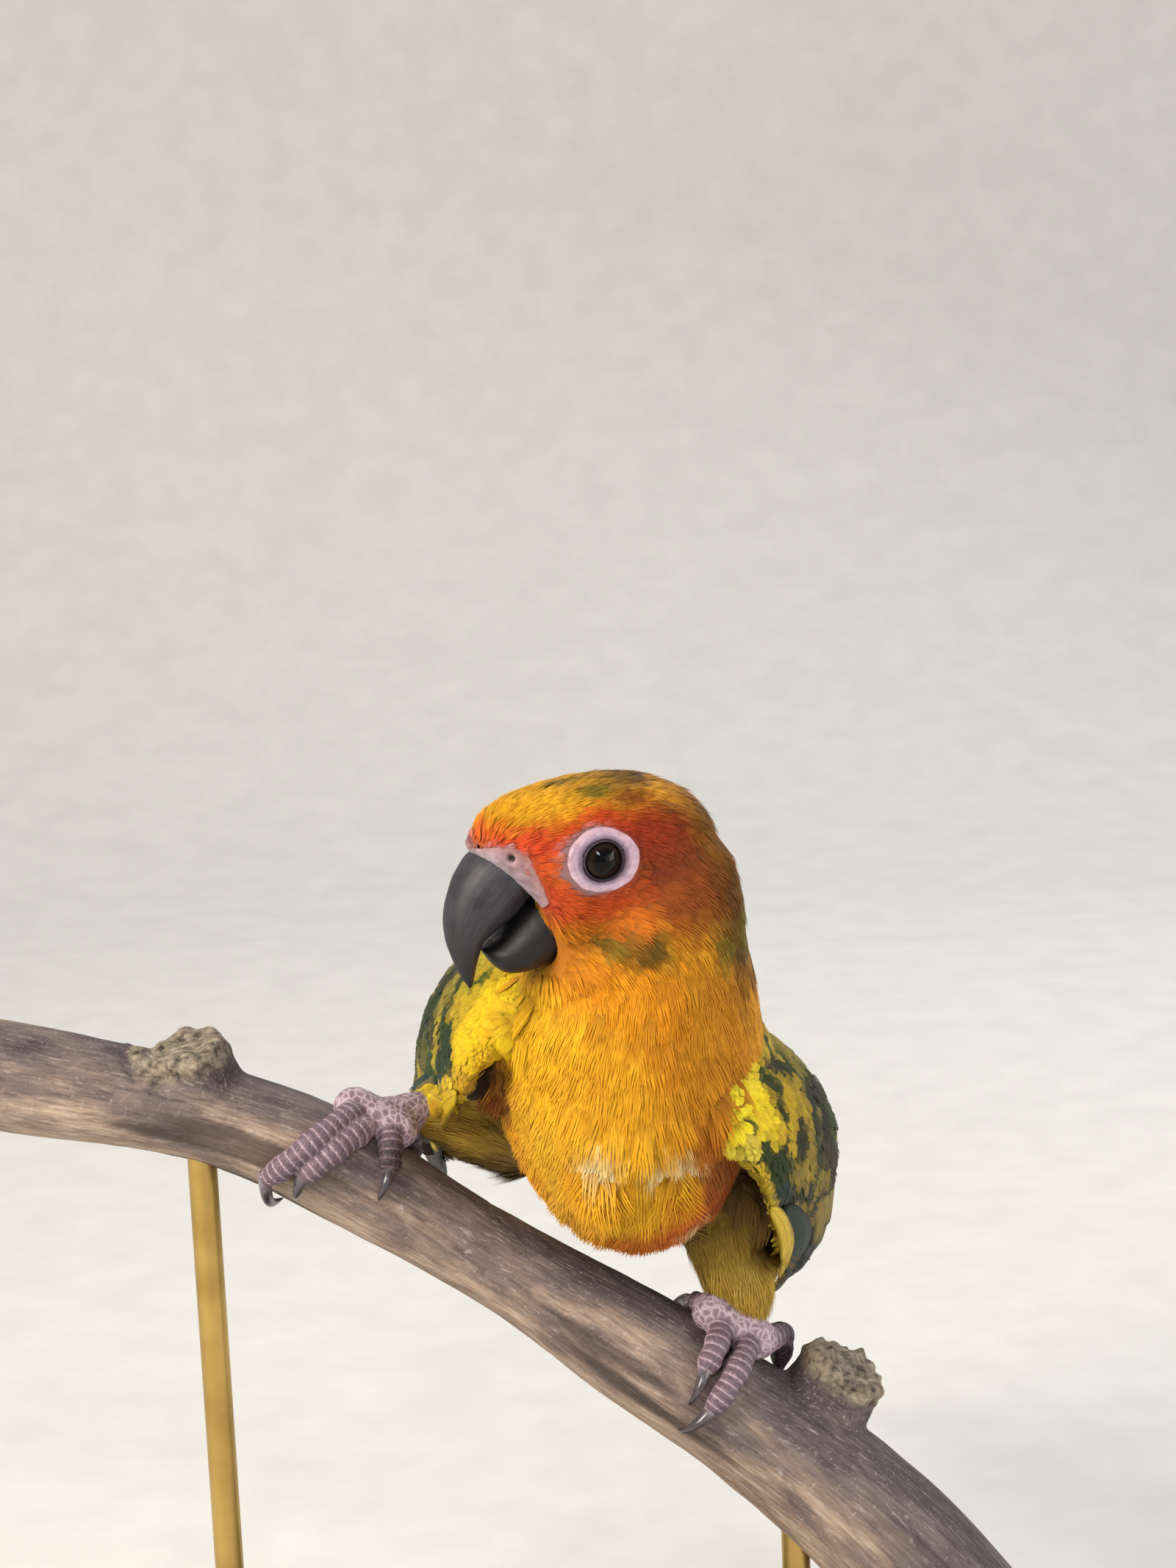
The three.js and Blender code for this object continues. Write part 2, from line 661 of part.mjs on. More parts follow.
// The body is one surface, parted at the base of the neck and under the head
const billUpper = billBody(UPPER_BILL, 0);
const billUpperWide = billBody(UPPER_BILL, GAP);
const billLower = billBody(LOWER_BILL, 0);
const billLowerWide = billBody(LOWER_BILL, GAP);
const cereSolid = cereBody(0).subtract(billUpperWide).subtract(billLowerWide);
const body = bodyBody(0).add(headBody());
const neckCut = facing(new Vector3(3, -22, 179.5), 68, 74);
const trunkCut = facing(new Vector3(4, -16, 163), 10, 66);
const aboveNeck = halfSpace(neckCut);
const aboveTrunk = halfSpace(trunkCut);
const slice = new Matrix4().makeTranslation(-GAP, 0, 0);
const belowNeck = halfSpace(neckCut.clone().multiply(slice));
const belowTrunk = halfSpace(trunkCut.clone().multiply(slice));

let headSolid = body.intersect(aboveNeck).subtract(billUpperWide).subtract(billLowerWide);
headSolid = headSolid.subtract(cereBody(GAP)).subtract(tongueBody());
for (const side of [1, -1]) {
  headSolid = headSolid.subtract(eyeHollow(side)).subtract(eyeBody(side, EYE_RADIUS + GAP));
}
place('head', toGeometry(headSolid), material('orange', 0.9));
const neckSolid = body.subtract(belowNeck).intersect(aboveTrunk).subtract(billLowerWide);
place('neck', toGeometry(neckSolid), material('orange', 0.9));
place('trunk', toGeometry(body.subtract(belowTrunk)), material('gold', 0.9));
place('cere', toGeometry(cereSolid), material('cere', 0.6));
place('bill_upper', toGeometry(billUpper), material('horn', 0.4));
place('bill_lower', toGeometry(billLower.subtract(billUpperWide)), material('horn', 0.4));
const tongue = tongueBody().subtract(billUpperWide).subtract(billLowerWide);
place('tongue', toGeometry(tongue), material('horn', 0.6));
place('eye_left', toGeometry(eyeBody(1, EYE_RADIUS)), material('eye', 0.1));
place('eye_right', toGeometry(eyeBody(-1, EYE_RADIUS)), material('eye', 0.1));

const wingsWide = {};
for (const [side, wing] of Object.entries(WINGS)) {
  const frame = wingFrame(wing);
  const [solid, wide] = [0, GAP].map((margin) => joined([
    wingBody(frame, wing, margin),
    ...FEATHER_ENDS.map((end) => featherEnd(frame, wing, end, margin)),
  ]));
  wingsWide[side] = wide;
  place(`wing_${side}`, toGeometry(solid.subtract(bodyWide).subtract(branchWide)), material('yellow', 0.85));
}

const tail = tailFrame();
const tailBlades = [];
for (let pair = 0; pair < TAIL_PAIRS; pair += 1) {
  tailBlades.push(tailFeather(tail, 1, pair), tailFeather(tail, -1, pair));
}
let tailSolid = joined([tailCoverts(tail), ...tailBlades]).subtract(bodyWide);
tailSolid = tailSolid.subtract(wingsWide.left).subtract(wingsWide.right);
place('tail', toGeometry(tailSolid), material('green', 0.85));

// Each piece of a leg is cut clear of the pieces above it
for (const side of ['left', 'right']) {
  const [leg, foot] = [LEGS[side], FEET[side]];
  const thigh = thighBody(leg, 0).subtract(bodyWide).subtract(branchWide).subtract(wingsWide[side]);
  place(`thigh_${side}`, toGeometry(thigh), material('olive', 0.9));
  const footSolid = footBody(leg, 0).subtract(thighBody(leg, GAP)).subtract(branchWide);
  place(`foot_${side}`, toGeometry(footSolid), material('foot', 0.7));
  let taken = footBody(leg, GAP).add(branchWide).add(thighBody(leg, GAP));
  for (const [number, toe] of Object.entries(foot.toes)) {
    const toeSolid = toeBody(foot, toe, 0).subtract(taken);
    taken = taken.add(toeBody(foot, toe, GAP));
    place(`toe_${side}_${number}`, toGeometry(toeSolid), material('foot', 0.7));
  }
  for (const [number, toe] of Object.entries(foot.toes)) {
    place(`claw_${side}_${number}`, toGeometry(clawBody(foot, toe).subtract(taken)), material('claw', 0.4));
  }
}

place('perch_branch', toGeometry(joined([branchBody(0), ...STUBS.map(stubBody)])), material('bark', 0.85));

place('stand_base', standBase(), material('wood', 0.5));
for (const [side, x] of Object.entries(ROD_PLACES)) {
  const top = BASE_SIZE.height + COLLAR.height;
  const rod = toSolid(upright(x, ROD_RADIUS, top, branchAt(x).centre.z, 12)).subtract(branchWide);
  const collar = upright(x, COLLAR.radius, BASE_SIZE.height, top, 16);
  place(`stand_collar_${side}`, collar, material('brass', 0.35, 1));
  place(`stand_rod_${side}`, toGeometry(rod), material('brass', 0.35, 1));
}

export default model;
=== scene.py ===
# %% [markdown]
# A sun conure on its branch, as a life-size display model
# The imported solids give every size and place. This lesson gives them their looks: one skin under
# a coat of some twenty thousand mesh feathers, the bare parts of the head and feet, the weathered
# branch and the plain stand. Each step says what the thing is on the real bird and why it is made so.

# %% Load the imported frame
import math

import bmesh
import bpy
import numpy as np
from mathutils import Matrix, Vector
from mathutils.bvhtree import BVHTree


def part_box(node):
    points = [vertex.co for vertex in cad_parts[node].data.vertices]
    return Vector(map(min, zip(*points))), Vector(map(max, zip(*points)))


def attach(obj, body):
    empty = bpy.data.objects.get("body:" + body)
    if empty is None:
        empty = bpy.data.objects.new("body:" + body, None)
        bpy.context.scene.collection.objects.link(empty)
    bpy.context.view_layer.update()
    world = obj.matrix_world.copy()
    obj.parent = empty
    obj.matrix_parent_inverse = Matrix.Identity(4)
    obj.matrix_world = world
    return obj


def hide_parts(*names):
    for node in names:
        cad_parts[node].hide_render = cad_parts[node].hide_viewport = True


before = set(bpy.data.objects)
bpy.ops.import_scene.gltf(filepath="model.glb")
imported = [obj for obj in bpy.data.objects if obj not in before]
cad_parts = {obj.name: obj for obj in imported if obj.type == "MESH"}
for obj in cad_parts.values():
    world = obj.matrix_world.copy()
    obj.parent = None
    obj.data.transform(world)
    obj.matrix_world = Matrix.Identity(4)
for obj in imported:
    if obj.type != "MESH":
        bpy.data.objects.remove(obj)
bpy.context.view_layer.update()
MM = 0.001
BODY = "root"
print("solids loaded:", len(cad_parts))

# %% [markdown]
# The camera
# The view is from a little above the bird, looking twelve degrees down with the camera turned
# slightly. A 73 mm lens on a 36 mm high frame from half a metre gives the photograph's perspective.

# %% Camera
CAMERA_PLACE = (0.0, -500.8, 301.45)
CAMERA_PITCH = 78.0
CAMERA_ROLL = -2.3
LENS = 73.1

camera_data = bpy.data.cameras.new("camera")
camera_data.lens = LENS
camera_data.sensor_fit = "VERTICAL"
camera_data.sensor_height = 36.0
camera_data.clip_start = 0.02
camera = bpy.data.objects.new("camera", camera_data)
bpy.context.collection.objects.link(camera)
camera.matrix_world = (
    Matrix.Translation(Vector(CAMERA_PLACE) * MM)
    @ Matrix.Rotation(math.radians(CAMERA_PITCH), 4, "X")
    @ Matrix.Rotation(math.radians(CAMERA_ROLL), 4, "Z")
)
bpy.context.scene.camera = camera
print("camera stands", round(math.hypot(*CAMERA_PLACE[:2])), "mm off and", round(CAMERA_PLACE[2]), "mm up")

# %% [markdown]
# Helpers for colour, nodes and meshes
# Colours are written as the sRGB values that a picture shows, and one function turns them to the
# linear values that light is reckoned in. One function adds a node of any kind with its settings
# and links, so that each material below reads as a short list of nodes. Patterns are laid on places
# in metres, so a noise with a scale of 900 has spots a little over a millimetre across.

# %% Helpers for colour and nodes


def linear(code):
    """A colour like #f0a020 as linear red, green, blue and alpha."""
    channels = [int(code[i:i + 2], 16) / 255 for i in (1, 3, 5)]
    light = [c / 12.92 if c <= 0.04045 else ((c + 0.055) / 1.055) ** 2.4 for c in channels]
    return (*light, 1.0)


def rgb(code):
    """A colour's linear red, green and blue as an array."""
    return np.array(linear(code)[:3])


def add_node(tree, kind, *inputs, output=0, stops=(), **settings):
    """Adds one node and gives back one of its outputs, by its number or name.

    Inputs come in the order of the node's live sockets. Settings with a capital name a socket, and
    the others a property. A socket takes a value, a colour code or another node's output. Stops are
    a colour ramp's places and colour codes.
    """
    node = tree.nodes.new(kind if "Node" in kind else "ShaderNode" + kind)
    for name, value in settings.items():
        if name[0].islower():
            setattr(node, name, value)
    live = [socket for socket in node.inputs if socket.enabled]
    fed = list(zip(live, inputs))
    for name, value in settings.items():
        if name[0].isupper():
            fed.append((next(s for s in live if s.name == name.replace("_", " ")), value))
    for socket, value in fed:
        if isinstance(value, bpy.types.NodeSocket):
            tree.links.new(value, socket)
        else:
            is_code = isinstance(value, str) and value.startswith("#")
            socket.default_value = linear(value) if is_code else value
    for number, (place, code) in enumerate(stops):
        elements = node.color_ramp.elements
        element = elements[number] if number < len(elements) else elements.new(1.0)
        element.position = place
        element.color = linear(code)
    outputs = [socket for socket in node.outputs if socket.enabled]
    if isinstance(output, str):
        return next(socket for socket in outputs if socket.name == output)
    return outputs[output] if outputs else None


# Settings of a Mix node that blends two colours, and of one that darkens the first by the second
MIXED = {"data_type": "RGBA"}
DARKENED = {"data_type": "RGBA", "blend_type": "MULTIPLY"}


def new_material(name, **settings):
    """A material with one Principled shader, whose constant sockets are set here."""
    material = bpy.data.materials.new(name)
    material.use_nodes = True
    shader = material.node_tree.nodes["Principled BSDF"]
    for socket, value in settings.items():
        shader.inputs[socket.replace("_", " ")].default_value = value
    return material, material.node_tree, shader


def finish(tree, shader, colour, height=None, strength=0.0, depth_mm=0.1):
    """Gives the shader its colour, and its relief from a height."""
    tree.links.new(colour, shader.inputs["Base Color"])
    if height is not None:
        relief = add_node(tree, "Bump", Strength=strength, Distance=depth_mm * MM, Height=height)
        tree.links.new(relief, shader.inputs["Normal"])


# %% Helpers for meshes


def mesh_object(name, points, faces):
    """A smooth-shaded object from points in millimetres."""
    mesh = bpy.data.meshes.new(name)
    mesh.from_pydata((np.asarray(points, float) * MM).tolist(), [], faces)
    mesh.shade_smooth()
    piece = bpy.data.objects.new(name, mesh)
    bpy.context.collection.objects.link(piece)
    return piece


def points_of(mesh):
    """The mesh's points in millimetres."""
    flat = np.empty(len(mesh.vertices) * 3)
    mesh.vertices.foreach_get("co", flat)
    return flat.reshape(-1, 3) / MM


def move_points(mesh, points):
    """Writes the mesh's points, given in millimetres."""
    mesh.vertices.foreach_set("co", (points * MM).ravel())
    mesh.update()


def normals_of(mesh):
    """The mesh's smooth normals at its points."""
    flat = np.empty(len(mesh.vertices) * 3)
    mesh.vertex_normals.foreach_get("vector", flat)
    return flat.reshape(-1, 3)


def store(mesh, name, kind, values):
    """Writes one value for each point as a named attribute."""
    layer = mesh.attributes.new(name, kind, "POINT")
    slot = {"FLOAT": "value", "FLOAT_VECTOR": "vector", "FLOAT_COLOR": "color"}[kind]
    layer.data.foreach_set(slot, np.ascontiguousarray(values, float).ravel())


def evaluated_copy(name, source):
    """A plain mesh object with the source's modifiers applied. The source is removed."""
    graph = bpy.context.evaluated_depsgraph_get()
    mesh = bpy.data.meshes.new_from_object(source.evaluated_get(graph))
    piece = bpy.data.objects.new(name, mesh)
    bpy.context.collection.objects.link(piece)
    bpy.data.objects.remove(source)
    return piece


def reworked(mesh, work):
    """Opens a mesh for editing, lets a function work on it and writes it back."""
    build = bmesh.new()
    build.from_mesh(mesh)
    work(build)
    build.to_mesh(mesh)
    build.free()


def face_outwards(build):
    """Turns all faces of closed shells outwards."""
    bmesh.ops.recalc_face_normals(build, faces=build.faces)


def search_tree(mesh):
    """A tree that finds the nearest place on a mesh, or the place that a ray meets."""
    build = bmesh.new()
    build.from_mesh(mesh)
    tree = BVHTree.FromBMesh(build)
    build.free()
    return tree


# %% [markdown]
# Floor, backdrop and light
# A pale floor that curves up behind the model is a photographer's usual ground for a small object.
# The bird was lit from the left and above, softly, so the left is the bright side.

# %% Floor and backdrop
FLOOR_HALF = 1600.0
SWEEP_START = 700.0
SWEEP_RADIUS = 500.0
SWEEP_TOP = 1700.0


def sweep_profile():
    """The floor's line from the front to the top of the backdrop, as (y, z) pairs."""
    line = [(-FLOOR_HALF, 0.0), (SWEEP_START, 0.0)]
    for step in range(1, 13):
        angle = math.radians(90 * step / 12)
        line.append((SWEEP_START + SWEEP_RADIUS * math.sin(angle), SWEEP_RADIUS * (1 - math.cos(angle))))
    line.append((SWEEP_START + SWEEP_RADIUS, SWEEP_TOP))
    return line


profile = sweep_profile()
floor_points = [(x, y, z) for y, z in profile for x in (-FLOOR_HALF, FLOOR_HALF)]
floor_faces = [(2 * i, 2 * i + 1, 2 * i + 3, 2 * i + 2) for i in range(len(profile) - 1)]
floor = mesh_object("floor", floor_points, floor_faces)
# Matt paper has no shine, and its faint grain keeps the backdrop from looking like fog
floor_paint, tree, shader = new_material("matt_paper", Roughness=0.9)
place = add_node(tree, "TexCoord", output="Object")
grain = add_node(tree, "TexNoise", place, Scale=60.0, Detail=3.0)
finish(tree, shader, add_node(tree, "ValToRGB", grain, stops=[(0.3, "#d6d5d2"), (0.7, "#dddcd9")]))
floor.data.materials.append(floor_paint)
print("faces in the backdrop:", len(floor_faces))

# %% Studio lights
LIGHTS = [
    # name, place, aimed at, size across, watts, colour
    ("key", (-760, -560, 760), (0, -20, 150), 480, 15.5, "#fff4e4"),
    ("fill", (760, -620, 360), (0, 0, 140), 700, 1.8, "#f1f4ff"),
    ("side", (880, -160, 300), (20, -20, 130), 420, 3.0, "#fff8ea"),
    ("rim", (300, 620, 700), (0, 0, 160), 420, 2.6, "#ffffff"),
    ("catch_light", (30, -700, 650), (-3, -42, 192), 110, 1.4, "#ffffff"),
]

for name, place, aim, across, watts, colour in LIGHTS:
    lamp = bpy.data.lights.new(name, "AREA")
    lamp.size = across * MM
    lamp.energy = watts
    lamp.color = linear(colour)[:3]
    light = bpy.data.objects.new(name, lamp)
    bpy.context.collection.objects.link(light)
    light.location = Vector(place) * MM
    light.rotation_euler = (Vector(aim) - Vector(place)).to_track_quat("-Z", "Y").to_euler()

world = bpy.data.worlds.new("soft_room")
world.use_nodes = True
world.node_tree.nodes["Background"].inputs["Color"].default_value = linear("#e9ecf0")
world.node_tree.nodes["Background"].inputs["Strength"].default_value = 0.45
bpy.context.scene.world = world
bpy.context.scene.view_settings.view_transform = "Standard"
print("lights:", len(LIGHTS))

# %% [markdown]
# Places on the bird
# The head, the trunk, the wings and the tail each have their own axes, the same ones that the solids
# were made with. Sizes are in millimetres, as they are on a maker's drawing.

# %% Axes of the bird's parts


class Axes:
    """A part's own axes. Rows are its X, Y and Z in the model's space."""

    def __init__(self, centre, rows):
        self.centre = np.array(centre, float)
        self.rows = np.array(rows, float)

    def local(self, points):
        return (np.asarray(points) - self.centre) @ self.rows.T

    def world(self, points):
        return self.centre + np.asarray(points) @ self.rows

    def turn(self, vectors):
        return np.asarray(vectors) @ self.rows


def unit(vectors):
    """Vectors of length one."""
    vectors = np.asarray(vectors, float)
    length = np.linalg.norm(vectors, axis=-1, keepdims=True)
    return vectors / np.maximum(length, 1e-9)


def facing(centre, yaw, elevation, roll=0.0):
    """Axes whose X points where the part faces, Y to its left and Z up. Yaw 0 faces -Y."""
    y, e, r = (math.radians(angle) for angle in (yaw, elevation, roll))
    forward = np.array([-math.sin(y) * math.cos(e), -math.cos(y) * math.cos(e), math.sin(e)])
    left = np.array([math.cos(y), -math.sin(y), 0.0])
    up = np.cross(forward, left)
    return Axes(centre, [
        forward,
        left * math.cos(r) + up * math.sin(r),
        up * math.cos(r) - left * math.sin(r),
    ])


def curve_of(pairs):
    """A smooth value between given pairs of place and value."""
    places, values = np.array(pairs, float).T
    last = len(places) - 1
    before = np.maximum(np.arange(last + 1) - 1, 0)
    after = np.minimum(np.arange(last + 1) + 1, last)
    slopes = (values[after] - values[before]) / (places[after] - places[before])

    def value(place):
        place = np.clip(place, places[0], places[-1])
        i = np.clip(np.searchsorted(places, place, side="right") - 1, 0, last - 1)
        span = places[i + 1] - places[i]
        u = (place - places[i]) / span
        start = values[i] * (1 + 2 * u) * (1 - u) ** 2 + slopes[i] * span * u * (1 - u) ** 2
        return start + values[i + 1] * u * u * (3 - 2 * u) + slopes[i + 1] * span * u * u * (u - 1)

    return value


# %% Axes of the head, trunk and tail
HEAD = facing((1, -26, 190), 68, -3)
TRUNK = facing((4.5, -1, 149), 2, 25, 3)

TAIL_ROOT = -54.0
TAIL_TURN = math.radians(180 - 7)
TAIL = Axes(TRUNK.world((TAIL_ROOT, 0, 0)), [
    TRUNK.turn((math.cos(TAIL_TURN), 0, -math.sin(TAIL_TURN))),
    TRUNK.turn((0, 1, 0)),
    TRUNK.turn((math.sin(TAIL_TURN), 0, math.cos(TAIL_TURN))),
])

# %% Shape of the folded wings
WING_LENGTH = 150.0
WING_LOW = curve_of([[0, -8], [12, -12], [30, -13], [60, -12.5], [90, -10], [120, -7], [150, -3]])
WING_HIGH = curve_of([[0, 13], [12, 24], [30, 31], [55, 33], [80, 27], [100, 17], [125, 8], [150, 3]])
WING_CAMBER = curve_of([[0, 1.5], [12, 4.5], [30, 7.5], [60, 10.5], [95, 8.5], [125, 5], [150, 1.5]])
WING_THICKNESS = curve_of([[0, 8], [15, 9], [40, 8], [65, 4.5], [90, 2.6], [150, 1.6]])


class Wing:
    """A folded wing. Its X runs from the wrist to the tip, Y up to the back, Z outwards."""

    def __init__(self, side, wrist, tip, tilt, bulge, droop):
        self.side, self.bulge, self.droop = side, bulge, droop
        along = unit(np.subtract(tip, wrist))
        outward = np.array([side, 0, tilt], float)
        outward = unit(outward - along * (outward @ along))
        self.axes = Axes(wrist, [along, np.cross(outward, along) * side, outward])

    def span(self, x):
        low = WING_LOW(x) - self.droop * np.sin(np.pi * np.clip(x, 0, WING_LENGTH) / WING_LENGTH)
        return (WING_HIGH(x) + low) / 2, (WING_HIGH(x) - low) / 2

    def roundness(self, x):
        """How wide the closed shell is at a place along it, against its full width."""
        share = np.clip(2 * np.asarray(x) / WING_LENGTH - 1, -1, 1)
        return np.sqrt(1 - share ** 2)

    def slope(self, x, y):
        """How fast Y grows with X along the wing's own outline, so lines fan out from the wrist."""
        middle, half = self.span(x)
        across = np.clip((y - middle) / np.maximum(half * self.roundness(x), 1.0), -1, 1)
        ahead, ahead_half = self.span(x + 1)
        return np.clip(ahead + ahead_half * self.roundness(x + 1) * across - y, -1.6, 1.6)

    def rise(self, x, y):
        middle, half = self.span(x)
        across = np.clip((y - middle) / half, -1.15, 1.15)
        return self.bulge * WING_CAMBER(x) * (1 - across ** 2)

    def place(self, x, y, lift=0.0):
        """A point over the wing's middle surface."""
        x, y = np.broadcast_arrays(np.asarray(x, float), np.asarray(y, float))
        return self.axes.world(np.stack([x, y, self.rise(x, y) + lift], -1))


WINGS = {
    "left": Wing(1, (17.2, -38.5, 147), (34, 97, 75), 0.2, 1.55, 2.5),
    "right": Wing(-1, (-12.5, -30, 161), (-33.5, 100, 103), 0.5, 1.12, 0.0),
}
print("tail root at", np.round(TAIL.centre, 1))

# %% [markdown]
# The skin
# Under its feathers the bird is one unbroken skin. The solids of the head, neck, trunk and thighs
# are copied, swelled until they touch, joined with the flesh of the wings and tail, and remeshed
# into one closed surface. Smoothing takes out the facets. The skin is then drawn in by the depth
# of the coat, so that the tips of the feathers end where the solids do.

# %% Copies of the solids, swelled
SWELL = 0.4
VOXEL = 0.8
FLESH = ["head", "neck", "trunk", "thigh_left", "thigh_right"]


def swelled_copy(name):
    """A node's points, merged and moved outwards, and its faces."""
    build = bmesh.new()
    build.from_mesh(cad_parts[name].data)
    bmesh.ops.remove_doubles(build, verts=build.verts, dist=1e-6)
    build.normal_update()
    points = [(v.co / MM + v.normal * SWELL)[:] for v in build.verts]
    faces = [[v.index for v in face.verts] for face in build.faces]
    build.free()
    return points, faces


def closed_tube(rings):
    """Joins rings of points into a closed tube with fanned ends."""
    count, sides = len(rings), len(rings[0])
    points = [rings[0].mean(0)] + [p for ring in rings for p in ring] + [rings[-1].mean(0)]
    last = len(points) - 1
    faces = []
    for k in range(sides):
        near, far = k, (k + 1) % sides
        faces.append((0, 1 + far, 1 + near))
        for i in range(count - 1):
            base = 1 + i * sides
            faces.append((base + near, base + far, base + sides + far, base + sides + near))
        base = 1 + (count - 1) * sides
        faces.append((last, base + near, base + far))
    return points, faces


# %% Flesh of the wings
# Smoothing draws the sharp front of the wing in, so the flesh starts out fuller there
WING_FLESH_INSET = curve_of([[0, -1.6], [14, -1.3], [34, 0.2], [50, 0.9], [150, 0.9]])
WING_FLESH_END = 88.0


def wing_flesh(wing):
    """The arm and hand inside the folded wing, as a closed lens."""
    rings = []
    for x in np.linspace(1.0, WING_FLESH_END, 30):
        middle, half = wing.span(x)
        end = wing.roundness(x) * min(1.0, (WING_FLESH_END - x) / 12 + 0.25)
        angle = np.linspace(0, 2 * np.pi, 28, endpoint=False)
        y = middle + max(half * end - WING_FLESH_INSET(x), 1.0) * np.cos(angle)
        thick = max(WING_THICKNESS(x) / 2 * wing.roundness(x) - WING_FLESH_INSET(x), 0.7)
        z = wing.rise(x, y) + thick * np.sin(angle)
        rings.append(wing.axes.world(np.stack([np.full_like(y, x), y, z], -1)))
    return closed_tube(rings)


# %% Flesh of the tail, and soft masses
TAIL_COVERTS = {"root": -10.0, "end": 56.0, "width": (15.0, 10.0), "height": (12.0, 3.4)}
TAIL_FLESH_INSET = 1.6


def tail_flesh():
    """The flesh under the tail coverts."""
    rings = []
    for share in np.linspace(0.03, 0.9, 16):
        blunt = math.sqrt(1 - (2 * share - 1) ** 2)
        x = TAIL_COVERTS["root"] + (TAIL_COVERTS["end"] - TAIL_COVERTS["root"]) * share
        wide = (TAIL_COVERTS["width"][0] * (1 - share) + TAIL_COVERTS["width"][1] * share) * blunt
        high = (TAIL_COVERTS["height"][0] * (1 - share) + TAIL_COVERTS["height"][1] * share) * blunt
        angle = np.linspace(0, 2 * np.pi, 24, endpoint=False)
        y = max(wide - TAIL_FLESH_INSET, 0.8) * np.cos(angle)
        z = max(high - TAIL_FLESH_INSET, 0.8) * np.sin(angle)
        rings.append(TAIL.world(np.stack([np.full_like(y, x), y, z], -1)))
    return closed_tube(rings)


# Soft masses that the solids leave open: down between the wings and flanks, and round the shanks
SOFT_MASSES = [
    # centre, half sizes
    ((-15.5, 0, 152), (8.5, 16, 10)), ((-19, 12, 146), (8, 15, 8)),
    ((24, 6, 126), (6, 14, 9)), ((22.2, 1.8, 109), (6.8, 6.0, 9.0)), ((20.0, 4.0, 117), (7.4, 7.4, 9)),
    ((-27, 7, 139), (5.2, 5.5, 5.2)), ((27.4, 9, 112.4), (3.6, 7, 4.4)),
]


def ellipsoid(centre, half):
    """A closed ellipsoid."""
    rings = []
    turn = np.linspace(0, 2 * np.pi, 20, endpoint=False)
    for tilt in np.linspace(0.12, np.pi - 0.12, 14):
        wide = np.sin(tilt)
        ring = np.stack([wide * np.cos(turn), wide * np.sin(turn), np.full(20, np.cos(tilt))], -1)
        rings.append(np.array(centre) + ring * half)
    return closed_tube(rings)


# %% Join the flesh into one closed surface


def joined(shells):
    """The points and faces of several shells as one list of each."""
    points, faces = [], []
    for shell_points, shell_faces in shells:
        faces += [[i + len(points) for i in face] for face in shell_faces]
        points += [tuple(p) for p in shell_points]
    return points, faces


def one_surface(name, shells, voxel, rounds):
    """Joins overlapping closed shells into one surface and smooths it."""
    rough = mesh_object(name + "_rough", *joined(shells))
    reworked(rough.data, face_outwards)
    remesh = rough.modifiers.new("one_surface", "REMESH")
    remesh.mode = "VOXEL"
    remesh.voxel_size = voxel * MM
    smooth = rough.modifiers.new("no_facets", "SMOOTH")
    smooth.factor = 0.5
    smooth.iterations = rounds
    piece = evaluated_copy(name, rough)
    piece.data.shade_smooth()
    return piece


SMOOTH_ROUNDS = 16

shells = [swelled_copy(name) for name in FLESH] + [wing_flesh(wing) for wing in WINGS.values()]
shells += [tail_flesh()] + [ellipsoid(*mass) for mass in SOFT_MASSES]
skin = one_surface("skin", shells, VOXEL, SMOOTH_ROUNDS)
print("skin faces:", len(skin.data.polygons))

# %% [markdown]
# How the coat lies
# Feathers run back from the bill over the head, down the neck and along the body to the tail, and
# each one is as long as its place needs: shortest round the bill and eyes, longest on the belly and
# the tail's root. These rules are worked out once at every point of the skin and kept there as
# named values, so that any feather that starts on the skin knows which way to lie.

# %% Shares of the skin that belong to each part


def smooth_step(value, start, end):
    """Rises smoothly from 0 to 1 between start and end."""
    share = np.clip((np.asarray(value, float) - start) / (end - start), 0, 1)
    return share * share * (3 - 2 * share)


BODY_LINE = np.array([
    (6.6, 56, 122.5), (5.8, 36, 132), (5, 16, 141.5), (4.6, -3, 150),
    (6.2, -14, 160), (6.6, -20, 171), (7.6, -23, 184), (8.6, -24, 197),
])
LEG_LINES = {
    "left": np.array([(12, 12, 131), (18.5, 4, 119), (21, 1.5, 104.5)], float),
    "right": np.array([(-4, 14, 136), (-15, 11, 134), (-30, 6, 139.5)], float),
}
LEG_RADIUS = 9.5
# The left thigh lies below this height, and the right one beyond this place along X
LEFT_THIGH_TOP, RIGHT_THIGH_START = 126.0, -9.0
TAIL_START = 4.0


def along_line(points, line, steps=60):
    """For each point: its distance to the line, the share along it and the line's direction there."""
    place = np.linspace(0, len(line) - 1, steps)
    fine = np.stack([np.interp(place, np.arange(len(line)), line[:, k]) for k in range(3)], -1)
    direction = unit(np.gradient(fine, axis=0))
    gap = np.linalg.norm(points[:, None] - fine[None], axis=-1)
    nearest = gap.argmin(1)
    return gap.min(1), nearest / (steps - 1), direction[nearest]


